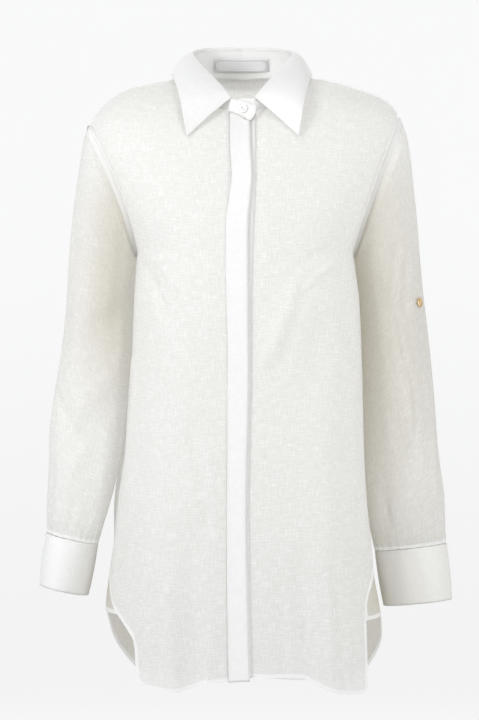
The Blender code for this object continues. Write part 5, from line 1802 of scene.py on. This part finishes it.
def sleeve_piece(side):
    """A sleeve with its grain level with the upper arm, its seams and its shade."""
    grid = sleeve_grid(side)
    round_steps = np.linalg.norm(np.diff(grid, axis=1), axis=-1)
    across = np.concatenate([np.zeros((grid.shape[0], 1)), np.cumsum(round_steps, axis=1)], axis=1)
    down_steps = np.linalg.norm(np.diff(grid, axis=0), axis=-1)
    from_armhole = np.concatenate([np.zeros((1, grid.shape[1])), np.cumsum(down_steps, axis=0)])
    turn = np.degrees(sleeve_angles() % (2 * math.pi))[None, :]
    least, wider = SLEEVE_LINE
    line = least + wider * (1 + np.cos(np.radians(turn))) / 2
    from_cuff = from_armhole[-1:] - from_armhole
    under = np.minimum(across, across[:, -1:] - across)
    seam = least_of(from_armhole / line * SEAM_ENDS["sleeve"], from_cuff * SEAM_ENDS["cuff"],
                    under * SEAM_ENDS["under"])
    across = across - across[:, SLEEVE_SIDES // 2:SLEEVE_SIDES // 2 + 1]
    along = from_armhole - from_armhole[SLEEVE_LEVEL]
    shade = soft_shade(side, np.broadcast_to(turn, grid.shape[:2]), grid[..., 2])
    return {"grid": grid, "across": across, "along": along, "seed": SEED["sleeve"] + SIGN[side],
            "seam": seam, "shade": shade}


def strip_marks(grid, seed):
    """Grain and edge distances of a small separate piece."""
    across, along = grain_of(grid)
    return {"grid": grid, "across": across, "along": along, "seed": seed,
            "hem": near_line(grid, whole_rim(grid))}


def cuff_piece(side):
    """A cuff with its marks, and the shade on its side toward the body."""
    piece = strip_marks(cuff_grid(side), SEED["cuff"] + SIGN[side])
    degrees = (CUFF_OPENING + np.linspace(0, 360 + CUFF_LAP, CUFF_COLUMNS + 1)) % 360
    share = np.linspace(0, 1, CUFF_ROWS + 1)[:, None]
    base, rise, start = CUFF_SHADE[side]
    inner = from_outer_edge(degrees)[None, :] - start + CUFF_SHADE_LEAN * share
    piece["shade"] = base + rise * smooth_step(inner / CUFF_SHADE_SPAN)
    return piece


def lay(node, pieces, material, wall=None, held=None):
    """Lays cloth in place of one solid, and adds up its area where it is a free sheet."""
    name = "plain_label" if node == "label" else f"linen_{node}"
    obj = make_cloth(name, pieces, material, wall)
    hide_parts(node)
    if held:
        cut_of(pieces)


def make_body(sheer, double):
    """The fronts, the back and the yoke, and the strips along the front edges."""
    fronts = {side: front_piece(side) for side in SIGN}
    for side in SIGN:
        lay(f"front_{side}", [fronts[side]], sheer, held="hung")
    lay("back", back_pieces(), sheer, held="hung")
    lay("yoke", yoke_pieces(), sheer, held="hung")
    band = strip_piece("right", fronts["right"], BAND_OUT, SEED["band"])
    lay("placket_band", [band], double, SHELL["band"])
    strip = strip_piece("left", fronts["left"], STRIP_OUT, SEED["strip"])
    lay("button_stand", [strip], double, SHELL["strip"])


def make_arm(side, sheer, double, white, honey, sewing):
    """A sleeve with the turned allowance and the tab inside it, its cuff and their buttons."""
    piece = sleeve_piece(side)
    sleeve = piece["grid"]
    lay(f"sleeve_{side}", [piece], sheer, held="hung")
    allowance = strip_marks(seam_band_grid(sleeve), SEED["allowance"])
    lay(f"armhole_band_{side}", [allowance], double, SHELL["allowance"])
    tab = strip_marks(tab_grid(side, sleeve), SEED["tab"])
    lay(f"sleeve_tab_{side}", [tab], double, SHELL["tab"])
    row, column = sleeve_spot(side, sleeve)
    spot = surface_spot(sleeve, row, column, SHELL["sleeve"], sleeve.mean(axis=(0, 1)))
    make_button("honey", f"sleeve_button_{side}", spot, "sleeve", honey, sewing)
    piece = cuff_piece(side)
    cuff = piece["grid"]
    lay(f"cuff_{side}", [piece], double, DOUBLE_WALL, "folded")
    row, column = CUFF_ROWS / 2, CUFF_COLUMNS * CUFF_BUTTON_AT
    spot = surface_spot(cuff, row, column, DOUBLE_WALL, cuff.mean(axis=(0, 1)))
    make_button("white", f"cuff_button_{side}", spot, "cuff", white, sewing)


def make_neck(double, white, sewing):
    """The collar stand, the collar, the plain label and the neck button."""
    piece = strip_marks(stand_grid(), SEED["stand"])
    stand = piece["grid"]
    lay("collar_stand", [piece], double, SHELL["stand"], "folded")
    leaf = collar_grid()
    whole = rolled(leaf)
    across, along = grain_of(whole)
    piece = {"grid": whole, "across": across, "along": along, "seed": SEED["collar"],
             "hem": near_line(whole, rim(leaf))}
    lay("collar", [piece], double, COLLAR_WALL, "folded")
    label = strip_marks(label_grid(stand), SEED["label"])
    lay("label", [label], label_cloth(), SHELL["label"])
    x, z = COLLAR_BUTTON_AT
    column = float(np.interp(-x, -OVER_X, np.arange(len(OVER_X))))
    row = STAND_ROWS - row_for_z(stand[::-1], column, z)
    spot = surface_spot(stand, row, column, DOUBLE_WALL, np.zeros(3))
    make_button("white", "collar_button", spot, "collar", white, sewing)


def make_shirt():
    sheer, double = sheer_linen(), double_linen()
    white, honey, sewing = button_white(), button_honey(), thread()
    make_body(sheer, double)
    for side in SIGN:
        make_arm(side, sheer, double, white, honey, sewing)
    make_neck(double, white, sewing)


def make_stage():
    """A pale studio: a floor that rises in one soft curve to a wall all round."""
    mesh = bmesh.new()
    profile = [(FLOOR_RADIUS * share, FLOOR_Z) for share in (0.0, 0.3, 0.6, 0.9)]
    for degrees in range(0, 91, 6):
        angle = math.radians(degrees)
        profile.append((FLOOR_RADIUS + BOWL_REACH * math.sin(angle),
                        FLOOR_Z + BOWL_CURVE * (1 - math.cos(angle))))
    profile.append((profile[-1][0], WALL_TOP))
    points = [mesh.verts.new((radius, 0.0, height)) for radius, height in profile]
    turn_profile(mesh, points, FLOOR_STEPS, FLOOR_MERGE)
    obj = object_from("studio_floor", mesh, studio())
    obj.data.shade_smooth()
    obj.visible_diffuse = obj.visible_glossy = obj.visible_transmission = obj.visible_shadow = False


def make_light(name, place, aim, size, watts, colour):
    data = bpy.data.lights.new(name, "AREA")
    data.shape = "DISK"
    data.size = size
    data.energy = watts
    data.color = colour
    obj = bpy.data.objects.new(name, data)
    obj.location = place
    obj.rotation_euler = (Vector(aim) - Vector(place)).to_track_quat("-Z", "Y").to_euler()
    obj.visible_camera = False
    bpy.context.scene.collection.objects.link(obj)


def make_view():
    world = bpy.data.worlds.new("studio light")
    world.use_nodes = True
    sky = world.node_tree.nodes["Background"]
    sky.inputs["Color"].default_value = (*SKY_COLOUR, 1)
    sky.inputs["Strength"].default_value = SKY_STRENGTH
    bpy.context.scene.world = world
    for light in LIGHTS:
        make_light(*light)
    data = bpy.data.cameras.new("camera")
    data.lens = CAMERA_LENS
    data.sensor_width = CAMERA_SENSOR
    camera = bpy.data.objects.new("camera", data)
    camera.location = tuple(value * MM for value in CAMERA_AT)
    camera.rotation_euler = (math.pi / 2, 0, 0)
    bpy.context.scene.collection.objects.link(camera)
    bpy.context.scene.camera = camera
    bpy.context.scene.view_settings.view_transform = "Standard"


make_shirt()
make_stage()
make_view()
